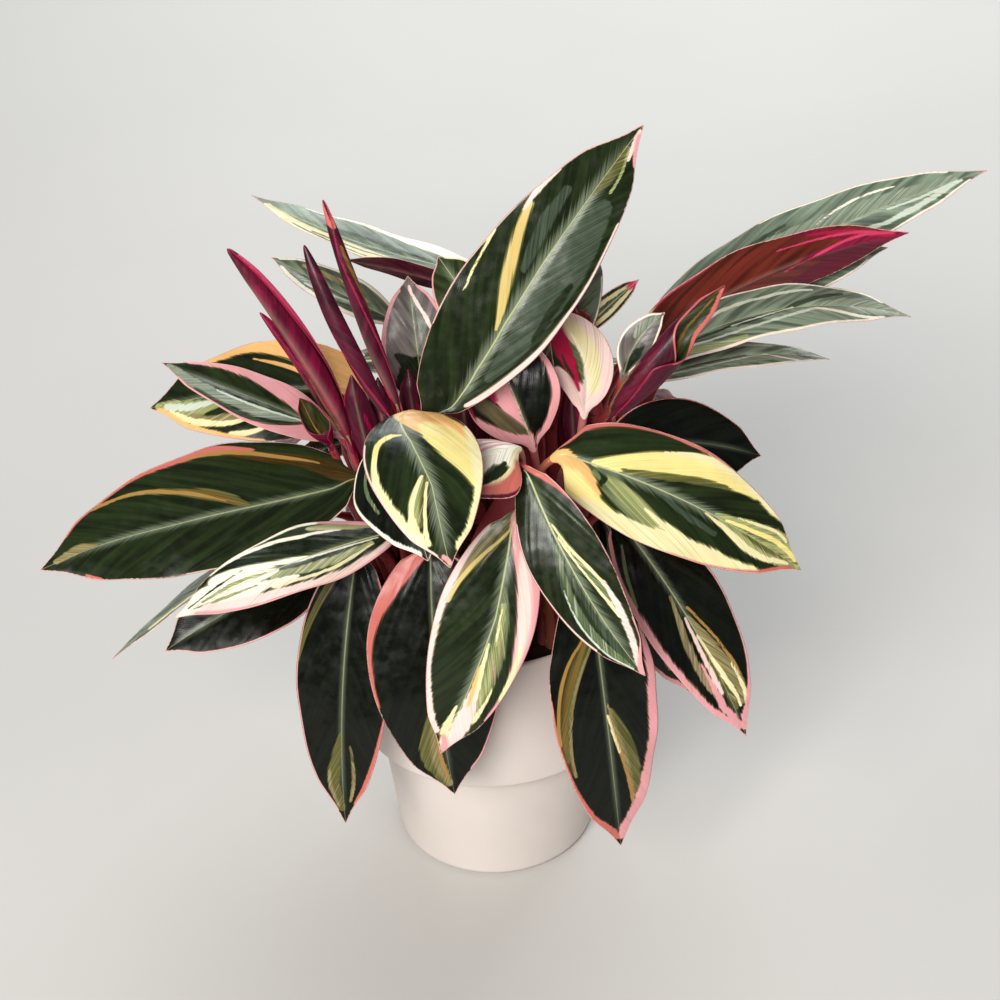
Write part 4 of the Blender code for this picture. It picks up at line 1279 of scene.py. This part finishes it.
def shared_group(fill):
    """The node group that a function fills, built the first time it is wanted."""
    name = fill.__name__
    found = bpy.data.node_groups.get(name)
    if found:
        return found
    group = bpy.data.node_groups.new(name, "ShaderNodeTree")
    takes, gives = GROUPS[name]
    for in_out, sockets in (("INPUT", takes), ("OUTPUT", gives)):
        for label, kind in sockets.items():
            group.interface.new_socket(name=label, in_out=in_out, socket_type="NodeSocket" + kind)
    nodes = Nodes(group)
    entry = group.nodes.new("NodeGroupInput")
    leave = group.nodes.new("NodeGroupOutput")
    made = fill(nodes, {label: Wire(nodes, entry.outputs[label]) for label in takes})
    for label in gives:
        nodes.feed(leave.inputs[label], made[label])
    return group


# What each node group takes and what it gives, by the name of the function that fills it.
GROUPS = {
    "leaf_pattern": (
        {
            "Ground": "Color",
            "Halo": "Float",
            "Mid": "Color",
            "Mid Field": "Float",
            "Pale": "Color",
            "Pale Field": "Float",
            "Place": "Vector",
            "Vein": "Vector",
            "Midrib": "Color",
            "Midrib Strength": "Float",
            "Edge": "Color",
        },
        {"Colour": "Color", "Pale Share": "Float"},
    ),
    "vein_relief": (
        {"Vein": "Vector", "Spot": "Vector", "Rib Spacing": "Float"},
        {"Height": "Float", "Gloss": "Float"},
    ),
    "mottle": (
        {"Vector": "Vector", "Patch Scale": "Float", "Grain Scale": "Float", "Grain Share": "Float"},
        {"Patches": "Float", "Height": "Float"},
    ),
}
# Streaks beside the side veins: how fast each changes from vein to vein and along a vein, per millimetre, and
# its own offset and detail.
STREAKS = {
    "feather": (0.42, 0.045, 0, 3.0),
    "lobes": (0.12, 0.06, 7, 1.0),
    "grain": (0.7, 0.05, 13, 2.0),
    "pale_threads": (0.7, 0.04, 29, 3.0),
    "mid_threads": (0.7, 0.04, 41, 3.0),
    "warmth": (0.1, 0.05, 53, 2.0),
}


def leaf_pattern(nodes, take):
    """Feathered variegation: turns a leaf's stored tones and fields into its colour."""
    q, side, seed = nodes.split(take["Vein"])
    s, midrib, edge = nodes.split(take["Place"])
    out = nodes.math("ABSOLUTE", side)

    def streaks(name):
        """One of the STREAKS."""
        across_veins, along_veins, offset, detail = STREAKS[name]
        return nodes.streaks(q * across_veins, side * along_veins, seed + offset, detail)

    # Where the pale and the middle tones end: their stored edges, feathered along the side veins.
    feather, lobes, grain = (streaks(name) for name in ("feather", "lobes", "grain"))
    wobble = ((feather - 0.5) * 0.26 + (lobes - 0.5) * 0.16) * nodes.step(edge, 0.0, 5.0, 0.12, 1.0)
    pale_field = take["Pale Field"] + wobble
    pale_share = nodes.step(pale_field, 0.475, 0.53)
    mid_share = nodes.step(take["Mid Field"] - wobble, 0.46, 0.56)

    # The ground, with a pale halo of uneven teeth beside the midrib.
    ground = nodes.tint(take["Ground"], nodes.step(grain, 0.3, 0.7, 0.86, 1.16))
    ground = nodes.tint(ground, nodes.step(lobes, 0.3, 0.7, 0.55, 1.5))
    teeth = nodes.step(grain * 0.6 + feather * 0.4, 0.35, 0.65)
    halo_width = (teeth * 2.6 + 0.9) * take["Halo"]
    halo = nodes.step(halo_width - out, -2.4, 3.0) * nodes.step(s, 0.02, 0.2) * nodes.step(s, 1.0, 0.75) * 0.4
    colour = nodes.mix(halo, ground, HALO_GREEN)

    # The middle tone, with paler threads.
    threads = nodes.step(streaks("mid_threads"), 0.56, 0.68, 0.0, 0.6)
    threads = threads * nodes.step(nodes.lightness(take["Mid"]), 0.05, 0.12)
    mid = nodes.tint(take["Mid"], nodes.step(grain, 0.3, 0.7, 0.62, 1.3))
    mid = nodes.mix(threads, mid, nodes.mix(0.7, mid, take["Pale"]))
    colour = nodes.mix(mid_share, colour, mid)

    # The pale tone, with a greenish fringe, greener threads and warmer patches.
    fringe = nodes.step(pale_field, 0.41, 0.5, 0.0, 0.5)
    colour = nodes.mix(fringe, colour, nodes.tint(take["Pale"], FRINGE_TINT))
    threads = nodes.step(streaks("pale_threads"), 0.56, 0.7, 0.0, 0.5)
    threads = threads * nodes.step(nodes.lightness(take["Pale"]), 0.1, 0.5)
    pale = nodes.tint(take["Pale"], nodes.step(grain, 0.2, 0.8, 0.9, 1.04))
    pale = nodes.mix(threads, pale, nodes.mix(0.5, take["Mid"], THREAD_GREEN))
    warmth = nodes.step(streaks("warmth"), 0.42, 0.68, 0.0, 0.5)
    pale = nodes.mix(warmth, pale, nodes.tint(pale, WARM_TINT))
    colour = nodes.mix(pale_share, colour, pale)

    # The midrib, which is narrower towards the tip, and the thin line along the margin.
    rib = nodes.step(nodes.step(s, 0.0, 1.0, 0.42, 0.1) - out, -0.12, 0.12)
    colour = nodes.mix(rib * midrib * take["Midrib Strength"], colour, take["Midrib"])
    rim = nodes.step(nodes.step(feather, 0.3, 0.7, 0.25, 0.6) - edge, -0.1, 0.12)
    colour = nodes.mix(rim * 0.85, colour, take["Edge"])
    return {"Colour": colour, "Pale Share": pale_share}


def vein_relief(nodes, take):
    """The fine ribs between side veins, as a height and as a change of gloss."""
    q, out, seed = nodes.split(take["Vein"])
    wander = (nodes.streaks(q * 0.12, out * 0.12, seed) - 0.5) * 2.4
    rib = nodes.math("SINE", (q + wander) / take["Rib Spacing"] * math.tau)
    fine = nodes.streaks(q * 0.8, out * 0.6, seed, 1.0)
    puckers = nodes.noise(take["Spot"], QUILT_SCALE, 1.2)
    patches = nodes.noise(take["Spot"], GLOSS_SCALE, 3.0)
    height = rib * 0.12 + fine * 0.06 + puckers * QUILTING
    return {"Height": height, "Gloss": nodes.step(patches, 0.3, 0.7) * 0.24}


def mottle(nodes, take):
    """Soft patches of two sizes, for the pot, the soil and the floor."""
    grain = nodes.noise(take["Vector"], take["Grain Scale"], 4.0, 0.6)
    patches = nodes.noise(take["Vector"], take["Patch Scale"], 3.0)
    return {"Patches": grain * take["Grain Share"] + patches, "Height": grain}


class Finish(Nodes):
    """A material with a plain Principled shader, and short ways to add its nodes."""

    def __init__(self, name, constants):
        self.material = bpy.data.materials.new(name)
        self.material.use_nodes = True
        super().__init__(self.material.node_tree)
        self.shader = self.tree.nodes["Principled BSDF"].inputs
        for key, value in constants.items():
            self.feed(self.shader[key], value)

    def mottle(self, patch_scale, grain_scale, grain_share):
        """Soft patches, whose other output is the grain's height. Both scales are per metre."""
        scales = {"Patch Scale": patch_scale, "Grain Scale": grain_scale, "Grain Share": grain_share}
        return self.group(mottle, "Patches", {"Vector": self.object_place(), **scales})

    def surface(self, colour, roughness, height=None, depth=0.0, strength=1.0):
        """The finished material, with a relief of this depth in metres where there is a height."""
        self.feed(self.shader["Base Color"], colour)
        self.feed(self.shader["Roughness"], roughness)
        if height:
            bump = {"Strength": strength, "Distance": depth, "Height": height}
            self.feed(self.shader["Normal"], self.add("ShaderNodeBump", "Normal", bump))
        return self.material


@dataclass(frozen=True)
class Side:
    """How one side of a leaf is finished.

    rougher is added to the upper side's roughness, and relief is its share of the ribs' full depth. Where edge
    is empty, the margin takes the colour that the leaf settings give.
    """

    midrib: tuple
    midrib_strength: float
    edge: tuple = ()
    coat: float = 0.1
    rougher: float = 0.0
    relief: float = 1.0


SIDES = {
    "leaf_upper": Side(linear(182, 188, 136), 1.0, coat=0.12),
    "leaf_lower": Side(linear(150, 34, 72), 0.6, rougher=0.1, relief=0.6),
    "leaf_stalk": Side(linear(150, 34, 72), 0.0, linear(150, 60, 60), rougher=0.06, relief=0.4),
    "new_leaf_inside": Side(linear(176, 170, 90), 0.5, linear(196, 60, 84), coat=0.2, rougher=0.05),
    "new_leaf_outside": Side(linear(196, 60, 84), 0.3, linear(150, 34, 66), coat=0.15, rougher=0.1, relief=0.6),
}
OPEN_SIDES = ("leaf_upper", "leaf_lower", "leaf_stalk")
NEW_SIDES = ("new_leaf_inside", "new_leaf_outside", "leaf_stalk")


def leaf_material(name):
    """One side of a leaf: its variegation, its ribs and its gloss."""
    found = bpy.data.materials.get(name)
    if found:
        return found
    settings = bpy.context.scene.stromanthe_leaves
    side = SIDES[name]
    finish = Finish(name, {"Coat Weight": side.coat, "Coat Roughness": 0.15, "Specular IOR Level": 0.16})
    vein = finish.attribute("vein", "Vector")
    values = {
        "Place": finish.attribute("place", "Vector"),
        "Vein": vein,
        "Midrib": side.midrib,
        "Midrib Strength": side.midrib_strength,
        "Edge": side.edge or tuple(settings.edge_colour),
    }
    for label, beside in (("Ground", "Halo"), ("Mid", "Mid Field"), ("Pale", "Pale Field")):
        values[label] = finish.attribute(label.lower(), "Color")
        values[beside] = values[label]["Alpha"]
    colour = finish.group(leaf_pattern, "Colour", values)
    values = {"Vein": vein, "Spot": finish.object_place(), "Rib Spacing": settings.rib_spacing / MM}
    height = finish.group(vein_relief, "Height", values)
    roughness = height["Gloss"] + colour["Pale Share"] * PALE_ROUGHNESS + (settings.roughness + side.rougher)
    return finish.surface(colour, roughness, height, settings.rib_relief * side.relief)


def settle(mesh, name, slot, materials, *nodes_replaced):
    """Put a finished mesh in the scene, riding on the plant's one body."""
    for material in materials:
        mesh.materials.append(material)
    piece = bpy.data.objects.new(name, mesh)
    bpy.context.scene.collection.objects.link(piece)
    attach(piece, "root")
    if nodes_replaced:
        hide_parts(*nodes_replaced)


def turned_mesh(name, profile, steps):
    """A closed mesh turned about Z from (radius, height) points that start and end on the axis."""
    count = len(profile) - 2
    points = [(0, 0, profile[0][1])]
    for radius, height in profile[1:-1]:
        turns = [math.tau * k / steps for k in range(steps)]
        points += [(radius * math.cos(turn), radius * math.sin(turn), height) for turn in turns]
    points.append((0, 0, profile[-1][1]))
    faces, uvs = [], []
    last = len(points) - 1
    for k in range(steps):
        ahead = (k + 1) % steps
        u, w = k / steps, (k + 1) / steps
        faces.append((0, 1 + ahead, 1 + k))
        uvs += [(u, 0), (w, 1 / count), (u, 1 / count)]
        for i in range(count - 1):
            a, b = 1 + i * steps, 1 + (i + 1) * steps
            faces.append((a + k, a + ahead, b + ahead, b + k))
            low, high = (i + 1) / (count + 1), (i + 2) / (count + 1)
            uvs += [(u, low), (w, low), (w, high), (u, high)]
        base = last - steps
        faces.append((last, base + k, base + ahead))
        uvs += [(u, 1), (u, count / (count + 1)), (w, count / (count + 1))]
    mesh = bpy.data.meshes.new(name)
    mesh.from_pydata(points, [], faces)
    layer = mesh.uv_layers.new(name="OFBake")
    layer.data.foreach_set("uv", np.array(uvs, np.float32).ravel())
    mesh.shade_smooth()
    return mesh


def inner_radius(height):
    """The radius of the pot's inside wall at a height."""
    if height < POT_COLLAR_Z:
        rise = height / POT_COLLAR_Z
        return POT_BASE_RADIUS + (POT_WAIST_RADIUS - POT_BASE_RADIUS) * rise - POT_WALL
    rise = (height - POT_COLLAR_Z) / (POT_HEIGHT - POT_COLLAR_Z)
    return POT_COLLAR_LOW_RADIUS + (POT_RIM_RADIUS - POT_COLLAR_LOW_RADIUS) * rise - POT_WALL


def arc(centre_r, centre_z, radius, start, end, steps):
    """Points (radius, height) on a rounded edge, between two angles in degrees."""
    turns = [math.radians(start + (end - start) * k / steps) for k in range(steps + 1)]
    return [(centre_r + radius * math.cos(turn), centre_z + radius * math.sin(turn)) for turn in turns]


def between(start, end, steps):
    """Points along a straight wall, without its ends."""
    shares = [k / steps for k in range(1, steps)]
    return [(start[0] + (end[0] - start[0]) * t, start[1] + (end[1] - start[1]) * t) for t in shares]


def pot_profile():
    """The pot's wall, from the middle of its inside floor, over the rim and down the outside."""
    ledge_z = POT_COLLAR_Z + POT_WALL
    lip = POT_WALL / 2
    foot, edge, seat = 4 * MM, 2 * MM, 1.2 * MM
    rim_z = POT_HEIGHT - lip
    waist = (POT_WAIST_RADIUS, POT_COLLAR_Z - seat)
    profile = [
        (0, POT_FLOOR),
        (inner_radius(POT_FLOOR) - 2 * MM, POT_FLOOR),
        (inner_radius(POT_FLOOR), POT_FLOOR + 2 * MM),
        (POT_WAIST_RADIUS - POT_WALL, ledge_z),
        (inner_radius(ledge_z) - 1 * MM, ledge_z),
        (inner_radius(ledge_z), ledge_z + 1 * MM),
    ]
    profile += between(profile[-1], (POT_RIM_RADIUS - 2 * lip, rim_z), 5)
    profile += arc(POT_RIM_RADIUS - lip, rim_z, lip, 180, 0, 8)
    profile += between((POT_RIM_RADIUS, rim_z), (POT_COLLAR_LOW_RADIUS, POT_COLLAR_Z + edge), 8)
    profile += arc(POT_COLLAR_LOW_RADIUS - edge, POT_COLLAR_Z + edge, edge, 0, -90, 6)
    profile += [(waist[0] + seat, POT_COLLAR_Z), (waist[0] + 0.3 * seat, POT_COLLAR_Z - 0.3 * seat), waist]
    profile += between(waist, (POT_BASE_RADIUS + 0.1 * MM, foot), 8)
    profile += arc(POT_BASE_RADIUS - foot, foot, foot, 0, -90, 7)
    sole = POT_BASE_RADIUS - foot
    return profile + [(sole - 2 * MM, 0), (sole - 4 * MM, 0.8 * MM), (0, 0.8 * MM)]


def shaded(colour, share):
    """A colour, darker or lighter."""
    return tuple(channel * share for channel in colour)


def pot_material():
    """Satin white ceramic, a little uneven."""
    settings = bpy.context.scene.stromanthe_pot
    finish = Finish("pot_ceramic", {"Coat Weight": 0.06, "Coat Roughness": 0.45})
    patches = finish.mottle(22.0, 900.0, 0.2)
    share = finish.step(patches, 0.4, 0.9)
    colour = finish.mix(share, tuple(settings.colour), shaded(settings.colour, 0.93))
    roughness = finish.step(share, 0.0, 1.0, settings.roughness, settings.roughness + 0.1)
    return finish.surface(colour, roughness, patches["Height"], 0.05 * MM, 0.35)


def soil_material():
    """Crumbly peat, darker in patches, with painted shade in its hollows and a few pale bits."""
    brown = tuple(bpy.context.scene.stromanthe_pot.soil_colour)
    finish = Finish("soil_peat", {"Specular IOR Level": 0.3})
    patches = finish.mottle(160.0, 700.0, 0.6)
    # Darker where the mottle is low, which takes in the hollows of the grain: painted shade there.
    colour = finish.mix(finish.step(patches, 0.5, 0.85), shaded(brown, 0.35), brown)
    colour = finish.mix(finish.step(patches, 0.88, 1.05, 0.0, 0.8), colour, shaded(brown, 1.9))
    roughness = finish.step(patches["Height"], 0.3, 0.7, 0.8, 0.98)
    return finish.surface(colour, roughness, patches["Height"], 0.6 * MM)


def floor_material():
    """A plain floor, very slightly uneven."""
    settings = bpy.context.scene.stromanthe_studio
    finish = Finish("floor_plain", {"Specular IOR Level": 0.3})
    share = finish.step(finish.mottle(3.0, 60.0, 0.1), 0.35, 0.8)
    colour = finish.mix(share, tuple(settings.floor_colour), shaded(settings.floor_colour, 0.97))
    return finish.surface(colour, finish.step(share, 0.0, 1.0, 0.6, 0.7))


def soil_mesh():
    """A closed body of soil with a lumpy top."""
    edge = inner_radius(SOIL_EDGE_Z) - CLEARANCE
    floor_z = POT_COLLAR_Z + POT_WALL + CLEARANCE
    profile = [(0, SOIL_CROWN_Z)]
    for k in range(1, SOIL_RINGS + 1):
        share = k / SOIL_RINGS
        profile.append((edge * k / SOIL_RINGS, SOIL_CROWN_Z + (SOIL_EDGE_Z - SOIL_CROWN_Z) * share**2))
    profile += [(inner_radius(height) - CLEARANCE, height) for height in (SOIL_MIDDLE_Z, floor_z)]
    profile.append((0, floor_z))
    mesh = turned_mesh("potting_soil_crumbly", profile[::-1], SOIL_STEPS)
    mesh.flip_normals()

    shuffle = random.Random(LUMP_SEED)
    spans = ((-edge, edge), (-edge, edge), LUMP_REACHES, (-1, 1))
    lumps = np.array([[shuffle.uniform(*span) for span in spans] for _ in range(LUMPS)])
    places = np.empty(len(mesh.vertices) * 3)
    mesh.vertices.foreach_get("co", places)
    places = places.reshape(-1, 3)
    raised = places[:, 2] > SOIL_EDGE_Z - 1 * MM
    reach = np.hypot(places[raised, 0:1] - lumps[:, 0], places[raised, 1:2] - lumps[:, 1])
    rise = (lumps[:, 3] * LUMP_HEIGHT * np.exp(-((reach / lumps[:, 2]) ** 2))).sum(axis=1)
    out = np.hypot(places[raised, 0], places[raised, 1]) / edge
    places[raised, 2] += np.clip(rise, *LUMP_LIMITS) * (1 - smooth_step(out, *FLAT_AT_WALL))
    mesh.vertices.foreach_set("co", places.ravel())
    return mesh


class StromantheLeafSettings(bpy.types.PropertyGroup):
    """Sizes and colours that all the leaves share."""

    blade_thickness: bpy.props.FloatProperty(
        name="Blade thickness", description="Thickness of a blade beside its midrib",
        default=0.42 * MM, min=0.1 * MM, unit="LENGTH",
    )
    midrib_groove: bpy.props.FloatProperty(
        name="Midrib groove", description="Depth of the groove along the upper side",
        default=0.34 * MM, min=0, unit="LENGTH",
    )
    midrib_ridge: bpy.props.FloatProperty(
        name="Midrib ridge", description="Height of the ridge along the lower side",
        default=0.8 * MM, min=0, unit="LENGTH",
    )
    margin_wave: bpy.props.FloatProperty(
        name="Margin wave", description="How far the margins wave up and down",
        default=0.9 * MM, min=0, unit="LENGTH",
    )
    vein_ridge: bpy.props.FloatProperty(
        name="Vein ridges", description="Height of the soft ridges that follow the side veins",
        default=0.2 * MM, min=0, unit="LENGTH",
    )
    rib_spacing: bpy.props.FloatProperty(
        name="Rib spacing", description="Distance between the fine ribs on the surface",
        default=2.1 * MM, min=0.5 * MM, unit="LENGTH",
    )
    rib_relief: bpy.props.FloatProperty(
        name="Rib relief", description="Depth of the fine ribs on the surface",
        default=0.035 * MM, min=0, unit="LENGTH",
    )
    roughness: bpy.props.FloatProperty(
        name="Roughness", description="Roughness of the upper side where it is glossiest",
        default=0.17, min=0, max=1,
    )
    edge_colour: bpy.props.FloatVectorProperty(
        name="Margin colour", description="Colour of the thin line along each margin",
        default=linear(226, 170, 160), size=3, subtype="COLOR",
    )


class StromanthePotSettings(bpy.types.PropertyGroup):
    """The pot's and the soil's finish."""

    colour: bpy.props.FloatVectorProperty(
        # The pot's off-white is partly painted shade: white dulled and warmed a little, as it stands in the
        # leaves' shade.
        name="Pot colour", description="Colour of the satin ceramic",
        default=linear(222, 212, 205), size=3, subtype="COLOR",
    )
    roughness: bpy.props.FloatProperty(
        name="Pot roughness", description="Roughness of the satin ceramic", default=0.48, min=0, max=1,
    )
    steps: bpy.props.IntProperty(
        name="Pot steps", description="How many steps the pot is turned in", default=144, min=24,
    )
    soil_colour: bpy.props.FloatVectorProperty(
        name="Soil colour", description="Colour of the potting soil",
        default=linear(58, 42, 32), size=3, subtype="COLOR",
    )


class StromantheStudioSettings(bpy.types.PropertyGroup):
    """The floor, the lights and the camera."""

    floor_size: bpy.props.FloatProperty(
        name="Floor size", description="Side of the square floor", default=40.0, min=1, unit="LENGTH",
    )
    floor_colour: bpy.props.FloatVectorProperty(
        name="Floor colour", description="Colour of the plain floor",
        default=linear(196, 194, 190), size=3, subtype="COLOR",
    )
    key_power: bpy.props.FloatProperty(
        name="Key light", description="Power of the soft window light behind the plant, in watts",
        default=34, min=0,
    )
    fill_power: bpy.props.FloatProperty(
        name="Fill light", description="Power of the light in front of the plant, in watts",
        default=48, min=0,
    )
    world_strength: bpy.props.FloatProperty(
        name="Surrounding light", description="Strength of the light from all round", default=0.22, min=0,
    )
    lens: bpy.props.FloatProperty(
        name="Lens", description="Focal length in millimetres on a 36 mm sensor", default=87.66, min=10,
    )


class STROMANTHE_OT_open_leaves(bpy.types.Operator):
    """Build every open leaf on its stalk"""

    bl_idname = "stromanthe.open_leaves"
    bl_label = "Open leaves"

    def execute(self, context):
        rear = [leaf.name for leaf in OPEN_LEAVES if leaf.name not in MARKINGS]
        for leaf in OPEN_LEAVES:
            if leaf.name in rear:
                marking = REAR_MARKINGS[rear.index(leaf.name) % len(REAR_MARKINGS)]
            else:
                marking = MARKINGS[leaf.name]
            materials = [leaf_material(name) for name in OPEN_SIDES]
            settle(loft(leaf, marking), leaf.name + "_blade", "leaf", materials, leaf.name)
        return {"FINISHED"}


class STROMANTHE_OT_new_leaves(bpy.types.Operator):
    """Build every new leaf that is still rolled"""

    bl_idname = "stromanthe.new_leaves"
    bl_label = "New leaves"

    def execute(self, context):
        for leaf in NEW_LEAVES:
            mesh = loft(leaf, MARKINGS[leaf.name], ROLLS[leaf.name])
            materials = [leaf_material(name) for name in NEW_SIDES]
            settle(mesh, leaf.name + "_roll", "new_leaf", materials, leaf.name)
        return {"FINISHED"}


class STROMANTHE_OT_scale_leaves(bpy.types.Operator):
    """Build the short scale leaves that wrap the shoots"""

    bl_idname = "stromanthe.scale_leaves"
    bl_label = "Scale leaves"

    def execute(self, context):
        for i, leaf in enumerate(SCALE_LEAVES):
            mesh = loft(leaf, SCALE_MARKINGS[i % len(SCALE_MARKINGS)], SCALE_ROLL)
            settle(mesh, leaf.name, "new_leaf", [leaf_material(name) for name in NEW_SIDES])
        return {"FINISHED"}


class STROMANTHE_OT_pot(bpy.types.Operator):
    """Turn the pot with its collar"""

    bl_idname = "stromanthe.pot"
    bl_label = "Pot"

    def execute(self, context):
        mesh = turned_mesh("pot_turned", pot_profile(), context.scene.stromanthe_pot.steps)
        settle(mesh, "pot_turned", "pot", [pot_material()], "pot")
        return {"FINISHED"}


class STROMANTHE_OT_soil(bpy.types.Operator):
    """Fill the pot with crumbly soil"""

    bl_idname = "stromanthe.soil"
    bl_label = "Potting soil"

    def execute(self, context):
        settle(soil_mesh(), "potting_soil_crumbly", "soil", [soil_material()], "potting_soil")
        return {"FINISHED"}


def look_at(place, aim, roll=0.0):
    """Where something stands that looks along its own -Z at a point."""
    place = Vector(place)
    ahead = (Vector(aim) - place).normalized()
    level = ahead.cross(Vector((0, 0, 1))).normalized()
    upright = level.cross(ahead)
    right = level * math.cos(roll) + upright * math.sin(roll)
    up = upright * math.cos(roll) - level * math.sin(roll)
    turn = Matrix((right, up, -ahead)).transposed()
    return Matrix.Translation(place) @ turn.to_4x4()


def add_area_light(name, power, place, width, height, colour):
    """A soft rectangular light that looks at the plant."""
    lamp = bpy.data.lights.new(name, "AREA")
    lamp.shape = "RECTANGLE"
    lamp.size, lamp.size_y = width, height
    lamp.energy = power
    lamp.color = colour
    light = bpy.data.objects.new(name, lamp)
    bpy.context.scene.collection.objects.link(light)
    light.matrix_world = look_at(place, LIGHTS_AIM)


class STROMANTHE_OT_studio(bpy.types.Operator):
    """Lay a plain floor and set the lights and the camera"""

    bl_idname = "stromanthe.studio"
    bl_label = "Studio"

    def execute(self, context):
        settings = context.scene.stromanthe_studio
        half = settings.floor_size / 2
        mesh = bpy.data.meshes.new("floor")
        corners = ((-half, -half, 0), (half, -half, 0), (half, half, 0), (-half, half, 0))
        mesh.from_pydata(corners, [], [(0, 1, 2, 3)])
        mesh.materials.append(floor_material())
        floor = bpy.data.objects.new("floor", mesh)
        context.scene.collection.objects.link(floor)

        world = bpy.data.worlds.new("studio_air")
        world.use_nodes = True
        context.scene.world = world
        context.scene.view_settings.view_transform = "Standard"
        sky = world.node_tree.nodes["Background"]
        sky.inputs["Color"].default_value = SKY_COLOUR
        sky.inputs["Strength"].default_value = settings.world_strength
        add_area_light("window_light", settings.key_power, *WINDOW_LIGHT)
        add_area_light("front_light", settings.fill_power, *FRONT_LIGHT)

        camera_data = bpy.data.cameras.new("camera")
        camera_data.sensor_width = 36
        camera_data.lens = settings.lens
        camera = bpy.data.objects.new("camera", camera_data)
        context.scene.collection.objects.link(camera)
        camera.matrix_world = look_at(CAMERA_PLACE, CAMERA_AIM, CAMERA_ROLL)
        context.scene.camera = camera
        return {"FINISHED"}


OPERATORS = (
    STROMANTHE_OT_pot,
    STROMANTHE_OT_soil,
    STROMANTHE_OT_open_leaves,
    STROMANTHE_OT_new_leaves,
    STROMANTHE_OT_scale_leaves,
    STROMANTHE_OT_studio,
)
SETTINGS = {
    "stromanthe_leaves": StromantheLeafSettings,
    "stromanthe_pot": StromanthePotSettings,
    "stromanthe_studio": StromantheStudioSettings,
}


class STROMANTHE_PT_panel(bpy.types.Panel):
    """The plant's pieces and settings in the sidebar"""

    bl_label = "Stromanthe"
    bl_idname = "STROMANTHE_PT_panel"
    bl_space_type = "VIEW_3D"
    bl_region_type = "UI"
    bl_category = "Stromanthe"

    def draw(self, context):
        for operator in OPERATORS:
            self.layout.operator(operator.bl_idname)
        for key, kind in SETTINGS.items():
            box = self.layout.box()
            for prop in kind.__annotations__:
                box.prop(getattr(context.scene, key), prop)


CLASSES = (*SETTINGS.values(), *OPERATORS, STROMANTHE_PT_panel)


def register():
    """Make the settings, the operators and the panel known to Blender."""
    for kind in CLASSES:
        bpy.utils.register_class(kind)
    for key, kind in SETTINGS.items():
        setattr(bpy.types.Scene, key, bpy.props.PointerProperty(type=kind))


def unregister():
    """Take them away again."""
    for key in SETTINGS:
        delattr(bpy.types.Scene, key)
    for kind in reversed(CLASSES):
        bpy.utils.unregister_class(kind)


def main():
    """Build every piece in turn."""
    register()
    bpy.ops.stromanthe.pot()
    bpy.ops.stromanthe.soil()
    bpy.ops.stromanthe.open_leaves()
    bpy.ops.stromanthe.new_leaves()
    bpy.ops.stromanthe.scale_leaves()
    bpy.ops.stromanthe.studio()
    bpy.context.view_layer.update()


if __name__ == "__main__":
    main()
